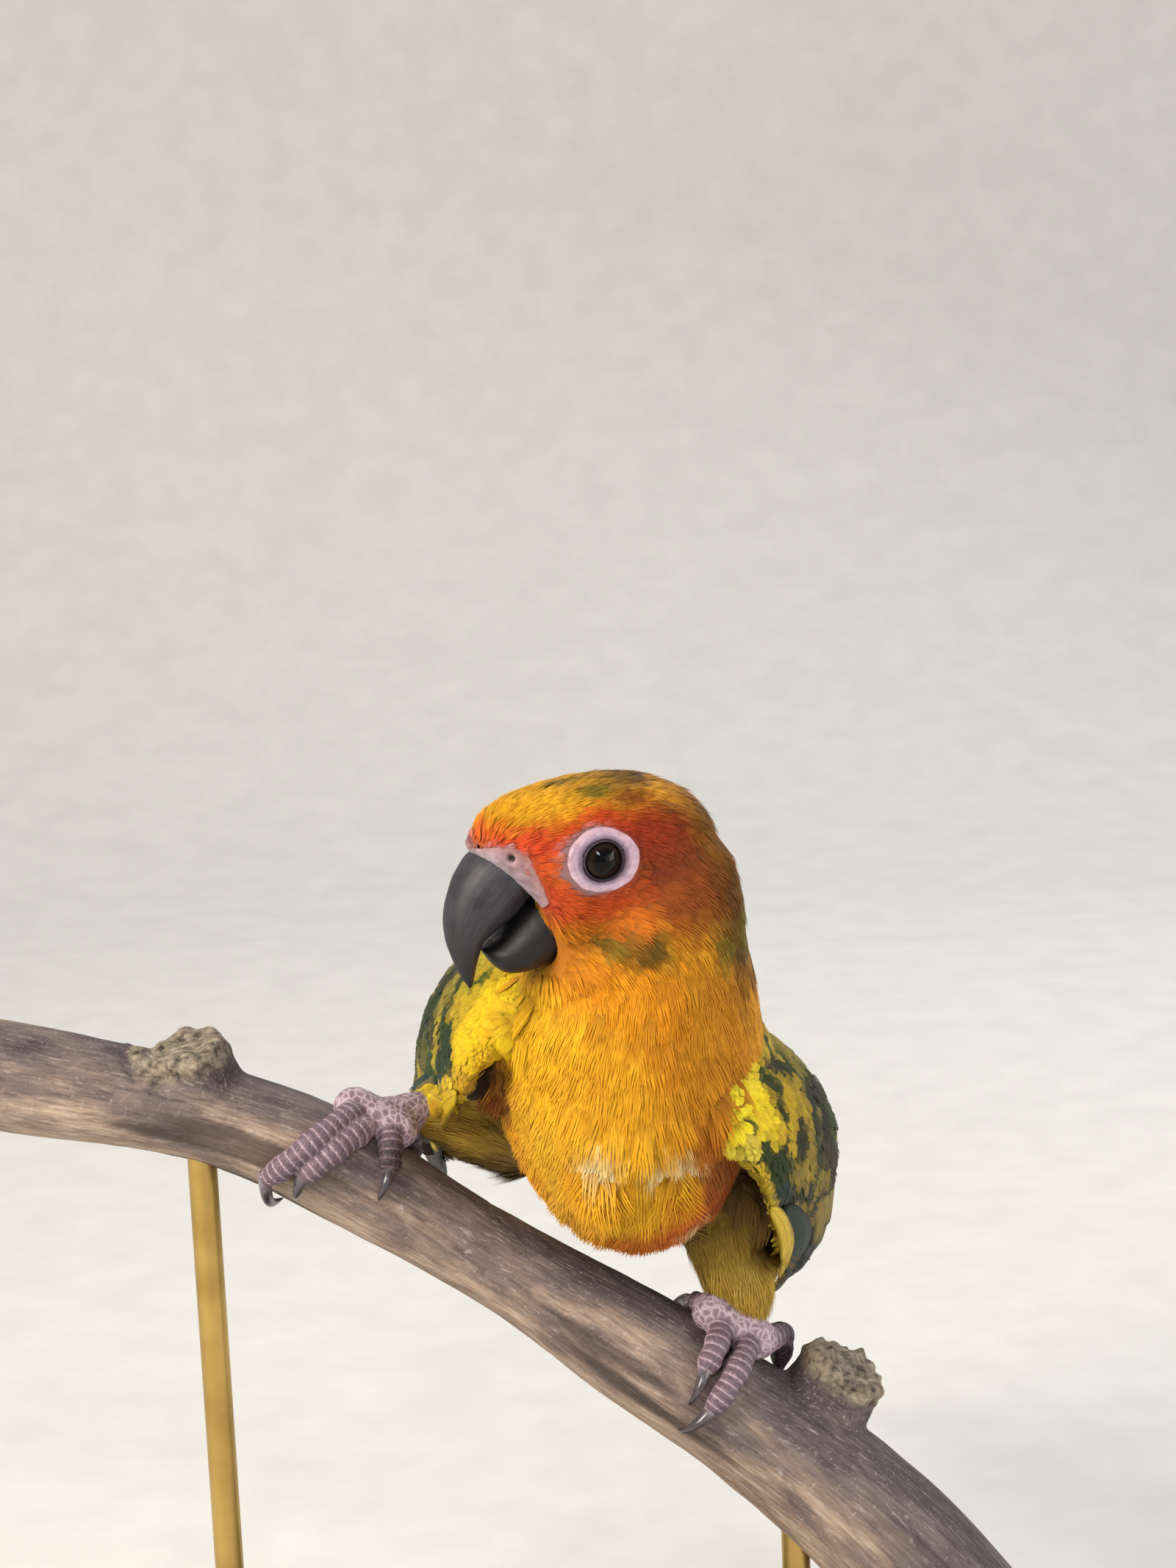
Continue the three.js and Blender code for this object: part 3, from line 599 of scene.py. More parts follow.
def part_shares(points):
    """How much each point belongs to the head, each wing, each leg and the tail."""
    shares = {}
    head = HEAD.local(points)
    reach = np.sqrt((head[:, 0] / 24) ** 2 + (head[:, 1] / 17) ** 2 + (head[:, 2] / 17.5) ** 2)
    shares["head"] = 1 - smooth_step(reach, 0.95, 1.4)
    for side, wing in WINGS.items():
        x, y, z = wing.axes.local(points).T
        middle, half = wing.span(x)
        thick = WING_THICKNESS(x) / 2 * wing.roundness(x) + 0.7
        fuller = 0.9 - WING_FLESH_INSET(x)
        height = z - wing.rise(x, y)
        across = (y - middle) - half * wing.roundness(x)
        below = (middle - y) - half * wing.roundness(x)
        near = (height > -thick) & (height < thick + fuller) & (across < 0.8 + fuller)
        near = near & (below < 0.8 + 0.4 * fuller) & (x > -2) & (x < WING_FLESH_END + 2)
        shares["wing_" + side] = near.astype(float)
        gap, _, _ = along_line(points, LEG_LINES[side])
        on_side = points[:, 2] < LEFT_THIGH_TOP if side == "left" else points[:, 0] < RIGHT_THIGH_START
        under_wing = (height < 0.3) | (below > -0.5)
        on_leg = (gap < LEG_RADIUS) & on_side & ((shares["wing_" + side] < 0.5) | under_wing)
        shares["wing_" + side] *= ~on_leg
        shares["leg_" + side] = on_leg.astype(float)
    tail = TAIL.local(points)
    off_wings = (shares["wing_left"] < 0.5) & (shares["wing_right"] < 0.5)
    shares["tail"] = smooth_step(tail[:, 0], 0.0, TAIL_START) * off_wings
    return shares


# %% Depth of the coat, and the skin drawn in by it
COAT_DEPTH = {"head": 0.75, "body": 1.7, "leg": 1.1, "wing": 0.3, "tail": 0.4, "bare": 0.15}
EYE_CENTRE = np.array([4.2, 1.7])
RING_HALF = np.array([5.9, 5.1])
# The bare band over the bill's root, on the left half: its edge under the feathers and on the bill
CERE_OUTER = np.array([
    (12.3, 10.4, -3.6), (13.3, 10.9, -0.2), (14.4, 10.8, 2.4), (15.8, 9.8, 4.7), (17.4, 7.2, 5.4),
    (19.3, 4.0, 4.9), (20.2, 0, 4.2),
])
CERE_INNER = np.array([
    (12.2, 6.0, -5.4), (14.3, 5.9, -2.8), (16.7, 6.0, 0.0), (18.4, 4.9, 1.7), (19.4, 3.2, 2.6),
    (20.0, 1.5, 3.1), (20.2, 0, 3.2),
])
# The corner of the mouth and the side of the lower bill, where no feathers grow
GAPE = np.array([(10.8, 6.4, -5.2), (10.3, 6.4, -8.5), (10.0, 6.0, -12.0), (10.2, 4.2, -15.0)])


def gap_to_cere(head, with_gape=True):
    """The distance to the bare band, and to the corner of the mouth, for places on the head."""
    gap = np.full(len(head), 9.0)
    near = np.flatnonzero(head[:, 0] > 8)
    folded = head[near] * (1, 0, 1) + np.abs(head[near]) * (0, 1, 0)
    for share in np.linspace(0, 1, 7):
        line = CERE_INNER + (CERE_OUTER - CERE_INNER) * share
        line = np.concatenate([line, (line[1:] + line[:-1]) / 2])
        gap[near] = np.minimum(gap[near], np.linalg.norm(folded[:, None] - line[None], axis=-1).min(1))
    if not with_gape:
        return gap
    corner = np.stack([np.interp(np.linspace(0, 3, 13), np.arange(4), GAPE[:, k]) for k in range(3)], -1)
    off_corner = np.linalg.norm(folded[:, None] - corner[None], axis=-1).min(1)
    gap[near] = np.minimum(gap[near], np.maximum(off_corner - 0.6, 0))
    return gap


def bare_face(points):
    """0 at the bare ring of the eye and at the cere, 1 from a little way off them."""
    head = HEAD.local(points)
    # Feathers in front of the eye lie back towards it, so their roots keep further off
    half = RING_HALF + np.stack([1.5 * (head[:, 0] > EYE_CENTRE[0]), np.zeros(len(head))], -1)
    ring = np.linalg.norm((head[:, [0, 2]] - EYE_CENTRE) / half, axis=1)
    ring = np.where(np.abs(head[:, 1]) > 6.5, ring, 3.0)
    return smooth_step(ring, 0.94, 1.3) * smooth_step(gap_to_cere(head), 0.3, 1.3)


def draw_in():
    """Moves the skin inwards by the coat's depth."""
    points, normals = points_of(skin.data), normals_of(skin.data)
    shares = part_shares(points)
    depth = COAT_DEPTH["body"] + (COAT_DEPTH["head"] - COAT_DEPTH["body"]) * shares["head"]
    for side in WINGS:
        depth = np.where(shares["leg_" + side] > 0.5, COAT_DEPTH["leg"], depth)
        depth = np.where(shares["wing_" + side] > 0.5, COAT_DEPTH["wing"], depth)
    depth = np.where(shares["tail"] > 0.5, COAT_DEPTH["tail"], depth)
    depth = COAT_DEPTH["bare"] + (depth - COAT_DEPTH["bare"]) * (0.2 + 0.8 * bare_face(points))
    move_points(skin.data, points - normals * (depth + SWELL)[:, None])


def relax(build):
    """Moves each point halfway to the middle of its neighbours, four times over."""
    for _ in range(4):
        bmesh.ops.smooth_vert(
            build, verts=build.verts, factor=0.5, use_axis_x=True, use_axis_y=True, use_axis_z=True)


draw_in()
reworked(skin.data, relax)
skin.data.shade_smooth()
SKIN_POINTS = points_of(skin.data)
SKIN_OUT = normals_of(skin.data)
SHARES = part_shares(SKIN_POINTS)
print("share of the skin on the head:", round(float(SHARES["head"].mean()), 3))

# %% Which way the feathers lie


def head_flow(points):
    """Back from the bill, and more and more down towards the nape and throat."""
    head = HEAD.local(points)
    down = 0.1 + 1.3 * smooth_step(-head[:, 0], -6, 16) + 0.7 * smooth_step(-head[:, 2], 2, 14)
    return HEAD.turn(np.stack([-np.ones(len(head)), np.zeros(len(head)), -down], -1))


def coat_lie(points, out, shares):
    """The direction of the feathers along the skin."""
    _, _, up_the_body = along_line(points, BODY_LINE)
    flow = -up_the_body
    flow = flow + (head_flow(points) - flow) * shares["head"][:, None]
    for side, wing in WINGS.items():
        x, y, _ = wing.axes.local(points).T
        slope = wing.slope(x, y) - 0.35 * smooth_step(x, 55, 25)
        along = wing.axes.turn(np.stack([np.ones(len(x)), slope, np.zeros(len(x))], -1))
        flow = np.where(shares["wing_" + side][:, None] > 0.5, along, flow)
        _, _, down_the_leg = along_line(points, LEG_LINES[side])
        flow = np.where(shares["leg_" + side][:, None] > 0.5, down_the_leg, flow)
    flow = flow + (TAIL.turn((1, 0, 0)) - flow) * shares["tail"][:, None]
    flow = flow - out * (flow * out).sum(1, keepdims=True)
    return unit(flow)


def coat_reach(points, shares):
    """The length of the feathers in millimetres."""
    head = HEAD.local(points)
    down_body = smooth_step(-head[:, 2], 8, 34)
    reach = 5.0 + 2.6 * down_body
    on_head = 3.4 + 1.4 * smooth_step(-head[:, 0], 0, 16) + 0.8 * smooth_step(-head[:, 2], 2, 14)
    reach = reach + (on_head - reach) * shares["head"]
    reach = 1.7 + (reach - 1.7) * bare_face(points)
    for side, wing in WINGS.items():
        x, y, z = wing.axes.local(points).T
        middle, half = wing.span(x)
        rim = smooth_step(np.abs(y - middle) / np.maximum(half * wing.roundness(x), 1.0), 0.72, 0.95)
        on_wing = (3.0 + 6.0 * smooth_step(x, 4, 62)) * (1 - 0.5 * rim)
        on_wing = np.where(z < wing.rise(x, y) - 0.6, 4.5, on_wing)
        reach = np.where(shares["wing_" + side] > 0.5, on_wing, reach)
        reach = np.where(shares["leg_" + side] > 0.5, 5.4, reach)
    return reach + (12.0 - reach) * shares["tail"]


LIE = coat_lie(SKIN_POINTS, SKIN_OUT, SHARES)
REACH = coat_reach(SKIN_POINTS, SHARES)
print("feathers from", round(float(REACH.min()), 1), "to", round(float(REACH.max()), 1), "mm")

# %% [markdown]
# The markings
# A young sun conure is golden, with an orange-red mask and flank, and moss green mottles that the
# adult bird loses. The colours are laid as soft-edged dabs, each with its place, size and colour on
# the part it belongs to. Some of the dabs, and the dark brown inside the wings, are painted shade
# and not markings. One function gives the colour of any place, so the skin and the feathers
# over it always carry the same markings.

# %% Dabs of colour


def wander(points, size, seed):
    """A smooth random value between about -1 and 1 that changes over this many millimetres."""
    source = np.random.default_rng(seed)
    total = np.zeros(len(points))
    for _ in range(8):
        direction = unit(source.normal(size=3)) * 2 * np.pi / (size * source.uniform(1.0, 2.6))
        total += np.sin(points @ direction + source.uniform(0, 2 * np.pi))
    return total / 3.2


def laid_over(colour, code, share):
    """The colours with another laid over them, by its share at each place."""
    return colour + (rgb(code) - colour) * share[..., None]


def dab(colour, local, centre, half, code, strength=1.0, edge=0.4, ragged=0.22):
    """Lays one soft dab over the colours. Its edge wanders."""
    away = np.linalg.norm((local - np.array(centre)) / np.array(half), axis=1)
    seed = int(abs(sum(centre)) * 10) + 3
    away = away + ragged * wander(local, 3.2, seed)
    return laid_over(colour, code, strength * (1 - smooth_step(away, 1 - edge, 1 + edge)))


# Place, half size, colour, strength. On the head X is towards the bill, Y outwards, Z up
HEAD_DABS = [
    ((19, 0, 5.5), (5, 8, 4.0), "#ee5526", 0.95),
    ((14, 8, 4), (6, 6, 5.5), "#e04826", 0.95),
    ((3, 12, 4), (9.5, 6, 7.4), "#d8471f", 0.95),
    ((-7, 13, 2), (9, 7, 7.5), "#98331a", 0.95),
    ((-10, 14, -6), (9, 7, 7), "#8c3e1c", 0.9),
    ((5, 13, -6.5), (9, 6, 5), "#cf4f22", 0.95),
    ((12, 9, -4), (5, 5, 5), "#dd4f28", 0.9),
    ((3, 13, -10.5), (8, 6, 3.0), "#dd7a20", 0.8),
    ((9, 8, -14), (8, 9, 5), "#e08a1c", 0.9),
    # The nape and the back of the neck, on this line and the next two: olive-brown, darkened further as
    # painted shade on the side away from the key light
    ((-18, 8, -4), (6, 9, 12), "#7d4716", 0.8),
    ((-18, 0, 3), (7, 10, 9), "#7f5416", 0.7),
    ((-20, 12, -14), (6, 8, 12), "#5e3c10", 0.85),
]
# The gold crown starts above this line, from the nape to the forehead
CROWN_LINE = curve_of([[-20, 10.5], [-12, 10.2], [-5, 9.2], [3, 8.8], [8, 8.2], [13, 7.8], [21, 7.6]])
# Smaller dabs of the side that the picture shows, and their like on the other side
OLIVE_DABS = [
    ((3.5, 13.3, -13.2), (3.4, 4, 1.7), "#6e661c", 0.85),
    ((-1.8, 15.5, -14.2), (4.0, 4, 2.1), "#54481a", 0.9),
    ((1.4, 5.8, 11.6), (2.4, 1.6, 1.6), "#77701c", 0.85),
    ((5.5, 0.5, 12.6), (3.4, 1.3, 1.6), "#6a6220", 0.8),
    ((-4, 8, 10), (2.4, 1.4, 1.6), "#7c3f16", 0.8),
    ((-10, 9.5, 7.5), (3.0, 1.6, 1.8), "#664214", 0.7),
    ((-15.5, 14.0, -17.0), (4.2, 5, 4.0), "#6d661a", 0.75),
    ((-13, 12.5, -10.5), (2.2, 3, 2.4), "#9a5a18", 0.6),
    ((-20.5, 7, -16), (3, 4, 5), "#7a701c", 0.7),
    ((-7, -6, 10.5), (2.6, 2, 1.6), "#7a701c", 0.7),
    ((4, -14, -12.5), (3.6, 4, 1.8), "#6e661c", 0.8),
    ((-12, -12, 4), (2.6, 2.2, 2), "#8a5c1c", 0.7),
]
# On the body the places are in the model's own space
BODY_DABS = [
    ((-12, -30, 156), (15, 18, 18), "#fbc426", 0.85),
    ((2, -42, 168), (12, 10, 9), "#f29a1c", 0.7),
    ((0, -42, 150), (14, 10, 13), "#f0b024", 0.8),
    ((2, -38, 136), (12, 12, 10), "#f2b82a", 0.85),
    ((-10, -30, 140), (10, 12, 10), "#f0b92f", 0.7),
    # Darker orange on the right of the upper breast: partly its own orange, partly painted shade
    ((16, -36, 158), (9, 12, 16), "#cf861c", 0.7),
    # Painted shade: these two dabs darken the breast along the left wing's front edge, where the wing shades
    # it
    ((18, -30, 140), (8, 12, 10), "#a85a18", 0.9),
    ((19, -24, 134), (6, 12, 8), "#8a4c16", 0.8),
    ((15, -24, 128), (10, 14, 6), "#c04f1c", 0.9),
    ((6, -26, 123), (11, 12, 3.6), "#c9641c", 0.75),
    ((-8, -20, 127), (7, 10, 5), "#dca42c", 0.7),
    ((5, 8, 119), (16, 16, 9), "#b99a3c", 0.8),
    # Painted shade: these two dabs darken the right side of the neck
    ((22, -12, 170), (6, 10, 10), "#6e4a12", 0.9),
    ((21, -18, 177), (7, 12, 9), "#6b4614", 0.85),
    # Painted shade in the gap between the right wing and the breast
    ((-18, 2, 150), (9, 18, 13), "#5e2e14", 0.95),
    # Dark olive under the left wing: partly the flank's own olive, partly painted shade from the wing
    ((25, 2, 125), (9, 15, 13), "#66522e", 0.95),
]
# Places where the wind has turned a few feathers up and their pale down shows
TUFTS = [
    ((-1.2, -38, 140.7), (3.0, 6, 3.6)), ((11.4, -38.5, 140.4), (3.6, 6, 2.8)),
    ((14.5, -22, 122.5), (2.6, 5, 4.5)),
]
print("dabs of colour:", len(HEAD_DABS) + len(OLIVE_DABS) + len(BODY_DABS) + len(TUFTS))

# %% Colour of the coat
BACK_COLOUR, BACK_MOTTLE = "#dcae22", "#56661f"
# The back of the crown is olive-brown gold, darkened further as painted shade
CROWN_BACK_AND_SHADE, CROWN_FRONT, FOREHEAD = "#664613", "#f6b726", "#f08a28"
THIGH_TOP, THIGH_END = "#94793c", "#c9a64a"


def crown_share(head, on_head):
    """How much of each place is gold crown. Its lower edge wanders."""
    above = head[:, 2] - CROWN_LINE(head[:, 0]) + 0.8 * wander(head, 3.4, 41)
    in_front = smooth_step(head[:, 0], -24, -14)
    return smooth_step(above, -1.1, 1.5) * in_front * smooth_step(on_head, 0.3, 0.7)


def coat_colour(points, shares):
    """The colour of the coat at each place."""
    colour = np.tile(rgb("#eba41c"), (len(points), 1))
    for centre, half, code, strength in BODY_DABS:
        colour = dab(colour, points, centre, half, code, strength)
    off_head = 1 - shares["head"]
    back = smooth_step(points[:, 1] * 0.75 + (points[:, 2] - 160) * 0.35, -3, 9) * off_head
    colour = laid_over(colour, BACK_COLOUR, back)
    mottle = smooth_step(wander(points, 7.0, 21) + 0.35 * wander(points, 3.0, 22), 0.25, 0.6) * back
    colour = laid_over(colour, BACK_MOTTLE, 0.85 * mottle)
    head = HEAD.local(points)
    outwards = np.stack([head[:, 0], np.abs(head[:, 1]), head[:, 2]], -1)
    for centre, half, code, strength in HEAD_DABS:
        colour = dab(colour, outwards, centre, half, code, strength, edge=0.5, ragged=0.16)
    gold = laid_over(rgb(CROWN_BACK_AND_SHADE), CROWN_FRONT, smooth_step(head[:, 0], -9, 9))
    gold = laid_over(gold, FOREHEAD, smooth_step(head[:, 0] + 0.6 * wander(head, 2.6, 42), 14.5, 20.5))
    colour += (gold - colour) * crown_share(head, shares["head"])[:, None]
    for centre, half, code, strength in OLIVE_DABS:
        colour = dab(colour, head, centre, half, code, strength, edge=0.45, ragged=0.3)
    for side in WINGS:
        _, share, _ = along_line(points, LEG_LINES[side])
        thigh = laid_over(rgb(THIGH_TOP), THIGH_END, smooth_step(share, 0.3, 0.9))
        colour = np.where(shares["leg_" + side][:, None] > 0.5, thigh, colour)
    patches = wander(points, 9.0, 43) + 0.5 * wander(points, 4.0, 44)
    on_breast = (points[:, 1] < -6) * off_head * (1 - shares["leg_left"]) * (1 - shares["leg_right"])
    colour = laid_over(colour, "#e08a1a", 0.2 * smooth_step(patches, 0.1, 1.0) * on_breast)
    colour *= 1 + 0.10 * (wander(points, 5.0, 45) * (0.3 + 0.7 * on_breast))[:, None]
    for centre, half in TUFTS:
        colour = dab(colour, points, centre, half, "#ffeeb8", 0.95, 0.7, 0.2)
    colour = np.clip(colour, 0, 1)
    tail_colour = np.where(TAIL.local(points)[:, 2:3] > 0, rgb("#c9a93a"), rgb("#8d9a2a"))
    return colour + (tail_colour - colour) * (0.9 * shares["tail"])[:, None]


# %% Markings of the wings
# Each stroke runs along the feathers: X and Y on the wing at its start and end, half width, colour
WING_STROKES = {
    "left": [
        ((43, 23), (45, 22), 4.0, "#2b2214"), ((45, 23.6), (36, 18.4), 2.4, "#9c8a20"),
        ((32, 14.3), (36, 12.4), 2.6, "#8a7c20"), ((13.9, 12), (22.6, 12.3), 1.3, "#35361a"),
        ((35.7, 9.7), (32.7, 4.9), 3.4, "#26260f"), ((42.5, 11.1), (45.2, 4.1), 4.2, "#26260f"),
        ((50, 1.1), (84.6, -2.2), 3.6, "#332c12"), ((63, -5), (107, -4.7), 2.6, "#2a2812"),
        ((40.5, 8.4), (41.1, 6), 0.8, "#8a7a3a"), ((15, 7.5), (27, 5.5), 4.0, "#a58a22"),
        # Painted light: the yellow strokes at the wrist, on this line and the next, are brighter than the
        # coverts' own yellow, as this face of the wing gets little key light
        ((6.8, 9.3), (4.1, 6.7), 3.2, "#f4da30"), ((2.6, 5.7), (0.8, 1.6), 3.0, "#fff03c"),
        ((2.9, 5.1), (4.7, -1), 3.2, "#ffea30"), ((8, 4.9), (9.4, -2), 3.2, "#ffe02a"),
        ((14.5, 1.7), (16.3, -1.3), 2.2, "#d9b826"), ((4.6, 1.1), (5.6, 0.4), 0.7, "#5a561c"),
        ((11.2, 9.7), (16.3, 8), 1.4, "#38451a"), ((12.7, 6), (16.6, 1.8), 1.3, "#303a16"),
        ((19, 8), (18.1, 3.6), 2.3, "#c7a824"), ((25.8, 8.9), (25, 2.7), 2.6, "#b49823"),
        ((28.8, 5.5), (33.9, 3.2), 1.0, "#a68f26"), ((23, 1.5), (30.3, -0.2), 2.4, "#26290f"),
        ((9.6, -3), (13, -4.9), 2.6, "#31401a"), ((15.8, -2.9), (22, -6.4), 3.0, "#2d3915"),
        ((4.1, -0.8), (8.5, -3.1), 1.2, "#f3de50"), ((11.2, -4.6), (16.6, -6.6), 1.2, "#dfc02c"),
        ((17.2, -6.6), (22.9, -8.4), 1.3, "#c9ac28"), ((19, -7.6), (23, -8.9), 0.8, "#2c3318"),
        ((23, -6.4), (39, -10), 1.9, "#26382f"), ((28, -6.4), (57, -11), 2.0, "#273a35"),
        ((22.6, -8.8), (57.5, -13), 1.7, "#f6d84a"), ((31.2, 0.2), (39, -4.6), 3.0, "#9a8320"),
        ((33.3, -5.2), (41.4, -6.2), 1.1, "#262c14"), ((41, -4.6), (56, -9), 2.6, "#8d781f"),
        ((50, -3.6), (78, -6.4), 2.6, "#8a751e"), ((57, -11), (80, -13), 2.4, "#232b20"),
        ((31, -6.0), (53, -4.2), 1.5, "#2c2e12"), ((80, -0.5), (110, -6), 2.6, "#2a2412"),
    ],
    "right": [
        ((49.4, 4.7), (56, 0.7), 3.4, "#32451b"), ((40, 12), (60, 6), 4.0, "#2c3a16"),
        ((20.8, 13.1), (20.5, 10.1), 3.4, "#b5a52a"), ((13.3, 10.2), (16.3, 8.6), 1.6, "#4c5b1f"),
        ((5.3, 7.7), (5, -0.6), 4.8, "#eecb22"), ((1.1, 3), (12.1, -3.2), 3.2, "#e6bd1e"),
        ((9.7, 2.4), (19, -3.7), 3.2, "#eecb22"), ((30.3, 9.7), (36.3, 8.1), 3.2, "#97892a"),
        ((32.1, 5.6), (27.9, 2.2), 2.6, "#33471b"), ((36.6, 3.5), (38.1, -0.9), 2.3, "#b8a52a"),
        ((22.6, 1.3), (32.4, -2), 2.1, "#2c3f22"), ((25, -1.9), (35.7, -3.9), 2.1, "#2b4027"),
        ((51.8, 2.5), (61, -1.1), 1.8, "#6f7030"), ((60.7, 0), (71.2, -4.4), 2.2, "#ab962c"),
        ((44, -1.5), (53.9, -5), 2.8, "#3c531c"), ((37.2, -5), (67.3, -7.6), 1.8, "#304548"),
        ((18.1, -6), (42.8, -10.2), 2.3, "#dcb32a"), ((27.6, -5.8), (64.3, -10.4), 1.8, "#f2d536"),
        ((66, -11), (84, -10), 2.4, "#231a12"),
    ],
}
WING_NEAR, WING_FAR = "#c9ad26", "#34381a"
WING_MOTTLE, WING_FLECK = "#34421a", "#8f8426"


# %% Colour of the wings, and of the whole skin


def stroke(colour, flat, start, end, half, code):
    """Lays one long soft-edged stroke over the colours."""
    along = np.subtract(end, start)
    share = np.clip((flat - start) @ along / (along @ along), 0, 1)[:, None]
    away = np.linalg.norm(flat - start - share * along, axis=1) / half
    tall = np.concatenate([flat, flat[:, :1] * 0], 1)
    cover = 1 - smooth_step(away + 0.16 * wander(tall, 2.6, int(abs(start[0] * 7)) + 3), 0.8, 1.15)
    return laid_over(colour, code, cover)


def wing_colour(side, x, y):
    """The colour of the small feathers at a place on the wing."""
    flat = np.stack([x, y, np.zeros_like(x)], -1)
    far_share = smooth_step(x + 3 * wander(flat, 6.0, 33), 20, 34)
    colour = laid_over(rgb(WING_NEAR), WING_FAR, far_share)
    chance = wander(flat, 8.0, 31) + 0.5 * wander(flat, 3.6, 32)
    colour = laid_over(colour, WING_MOTTLE, smooth_step(chance, 0.15, 0.5) * smooth_step(x, 8, 20))
    colour = laid_over(colour, WING_FLECK, smooth_step(-chance, 0.35, 0.8) * smooth_step(x, 24, 34))
    for start, end, half, code in WING_STROKES[side]:
        colour = stroke(colour, flat[:, :2], start, end, half, code)
    return colour


def marked_colour(points, shares):
    """The colour at each place of the skin, wings included."""
    colour = coat_colour(points, shares)
    for side, wing in WINGS.items():
        on_wing = shares["wing_" + side] > 0.5
        x, y, z = wing.axes.local(points[on_wing]).T
        # Painted shade: the inner face of each wing, next to the body, is dark brown where the folded wing
        # shades it
        inner = (z < wing.rise(x, y) - 0.5) & (x > 12)
        colour[on_wing] = np.where(inner[:, None], rgb("#33241a"), wing_colour(side, x, y))
    head = HEAD.local(points)
    ring = np.linalg.norm((head[:, [0, 2]] - EYE_CENTRE) / (RING_HALF + 0.1), axis=1)
    bare_ring = (1 - smooth_step(ring, 0.95, 1.1)) * (np.abs(head[:, 1]) > 6.5)
    bare = np.maximum(1 - smooth_step(gap_to_cere(head, False), 0.5, 1.0), bare_ring)
    return laid_over(colour, "#b58d92", bare * (shares["head"] > 0.5))


# A feather shows mostly its outer half, which lies this share of its length from its root
SHOWN_AT = 0.85
SHOWN_POINTS = SKIN_POINTS + LIE * (REACH * SHOWN_AT)[:, None]
TINT = marked_colour(SHOWN_POINTS, SHARES)
print("mean colour of the coat:", np.round(TINT.mean(0), 2))

# %% [markdown]
# The unwrap of the skin
# Every feather needs a place on a flat map for its baked colour. The skin is unwrapped by its own
# shape, as a taxidermist would lay out a pelt in patches, and each feather takes a small patch of
# the map where its root stands.

# %% Unwrap the skin and keep the named values on it
UNWRAP_ANGLE = math.radians(62)

bpy.ops.object.select_all(action="DESELECT")
skin.select_set(True)
bpy.context.view_layer.objects.active = skin
skin.data.uv_layers.new(name="OFBake")
bpy.ops.object.mode_set(mode="EDIT")
bpy.ops.mesh.select_all(action="SELECT")
bpy.ops.uv.smart_project(angle_limit=UNWRAP_ANGLE, island_margin=0.002)
bpy.ops.object.mode_set(mode="OBJECT")
bpy.ops.object.select_all(action="DESELECT")

store(skin.data, "lie", "FLOAT_VECTOR", LIE)
store(skin.data, "out", "FLOAT_VECTOR", SKIN_OUT)
store(skin.data, "reach", "FLOAT", REACH * MM)
store(skin.data, "tint", "FLOAT_COLOR", np.concatenate([TINT, np.ones((len(TINT), 1))], 1))
corner_map = np.empty(len(skin.data.loops) * 2)
skin.data.uv_layers["OFBake"].uv.foreach_get("vector", corner_map)
corner_map = corner_map.reshape(-1, 2)
print("unwrap spans", np.round(corner_map.min(0), 3), "to", np.round(corner_map.max(0), 3))

# %% [markdown]
# The shapes of small feathers
# A body feather is a cupped vane that curls with the body, and its soft end splits into barbs. It is
# one mesh a unit long with a few dozen triangles: a short base of four panels, then five to eight
# fingers that part towards their tips. Down has narrower fingers, and wing coverts have firm rounded ends.

# %% Shapes of small feathers
FEATHER_SHAPES = {
    # name: half width, cup, curl, fingers, how far the fingers part, where they start
    "body": (0.20, 0.05, 0.15, 6, 0.42, 0.40),
    "strand": (0.15, 0.04, 0.13, 5, 0.55, 0.30),
    "wing": (0.27, 0.07, 0.09, 8, 0.10, 0.50),
    "face": (0.21, 0.06, 0.14, 5, 0.45, 0.40),
    "down": (0.20, 0.05, 0.16, 5, 0.72, 0.22),
    "covert": (0.30, 0.12, 0.15, 7, 0.05, 0.62),
}
SHAPE_VARIANTS = 3


def feather_height(x, y, half, cup, curl):
    """The height of a cupped and curled vane."""
    return 0.03 * x - curl * x * x - cup * (y / half) ** 2 * half


def small_feather(name, variant):
    """One feather of unit length, its root at the origin and its tip along X."""
    half, cup, curl, fingers, parting, start = FEATHER_SHAPES[name]
    source = np.random.default_rng(100 + variant)
    flat, faces = [], []
    rows = [(0.0, 0.18), (start * 0.5, 0.82), (start, 1.0)]
    for x, wide in rows:
        flat += [(x, -half * wide), (x, 0.0), (x, half * wide)]
    for row in (0, 3):
        faces += [(row + k, row + 3 + k, row + 4 + k, row + 1 + k) for k in (0, 1)]
    step = 2 * half / fingers
    for k in range(fingers):
        low = -half + k * step
        middle = low + step / 2
        end = 1.0 - 0.26 * (middle / half) ** 2 + source.uniform(-0.06, 0.06)
        belly = start + (end - start) * 0.6
        narrow = step / 2 * (1 - parting)
        spread = middle * (1.0 - 0.12 * (1 - parting)) + source.uniform(-0.02, 0.02)
        first = len(flat)
        flat += [(start, low), (start, low + step), (belly, spread + narrow), (belly, spread - narrow)]
        flat += [(end, spread * (0.82 if parting < 0.2 else 1.0))]
        faces += [(first, first + 3, first + 2, first + 1), (first + 3, first + 4, first + 2)]
    points = [(x, y, feather_height(x, y, half, cup, curl)) for x, y in flat]
    mesh = bpy.data.meshes.new(f"{name}_{variant}")
    mesh.from_pydata(points, [], faces)
    mesh.shade_smooth()
    layer = mesh.uv_layers.new(name="vane")
    for loop in mesh.loops:
        x, y = flat[loop.vertex_index]
        layer.uv[loop.index].vector = (x, 0.5 + 0.5 * y / half)
    return bpy.data.objects.new(mesh.name, mesh)


def feather_set(name):
    """A collection with the variants of one small feather."""
    group = bpy.data.collections.new("feathers_" + name)
    for variant in range(SHAPE_VARIANTS):
        group.objects.link(small_feather(name, variant))
    return group


FEATHER_SETS = {name: feather_set(name) for name in FEATHER_SHAPES}

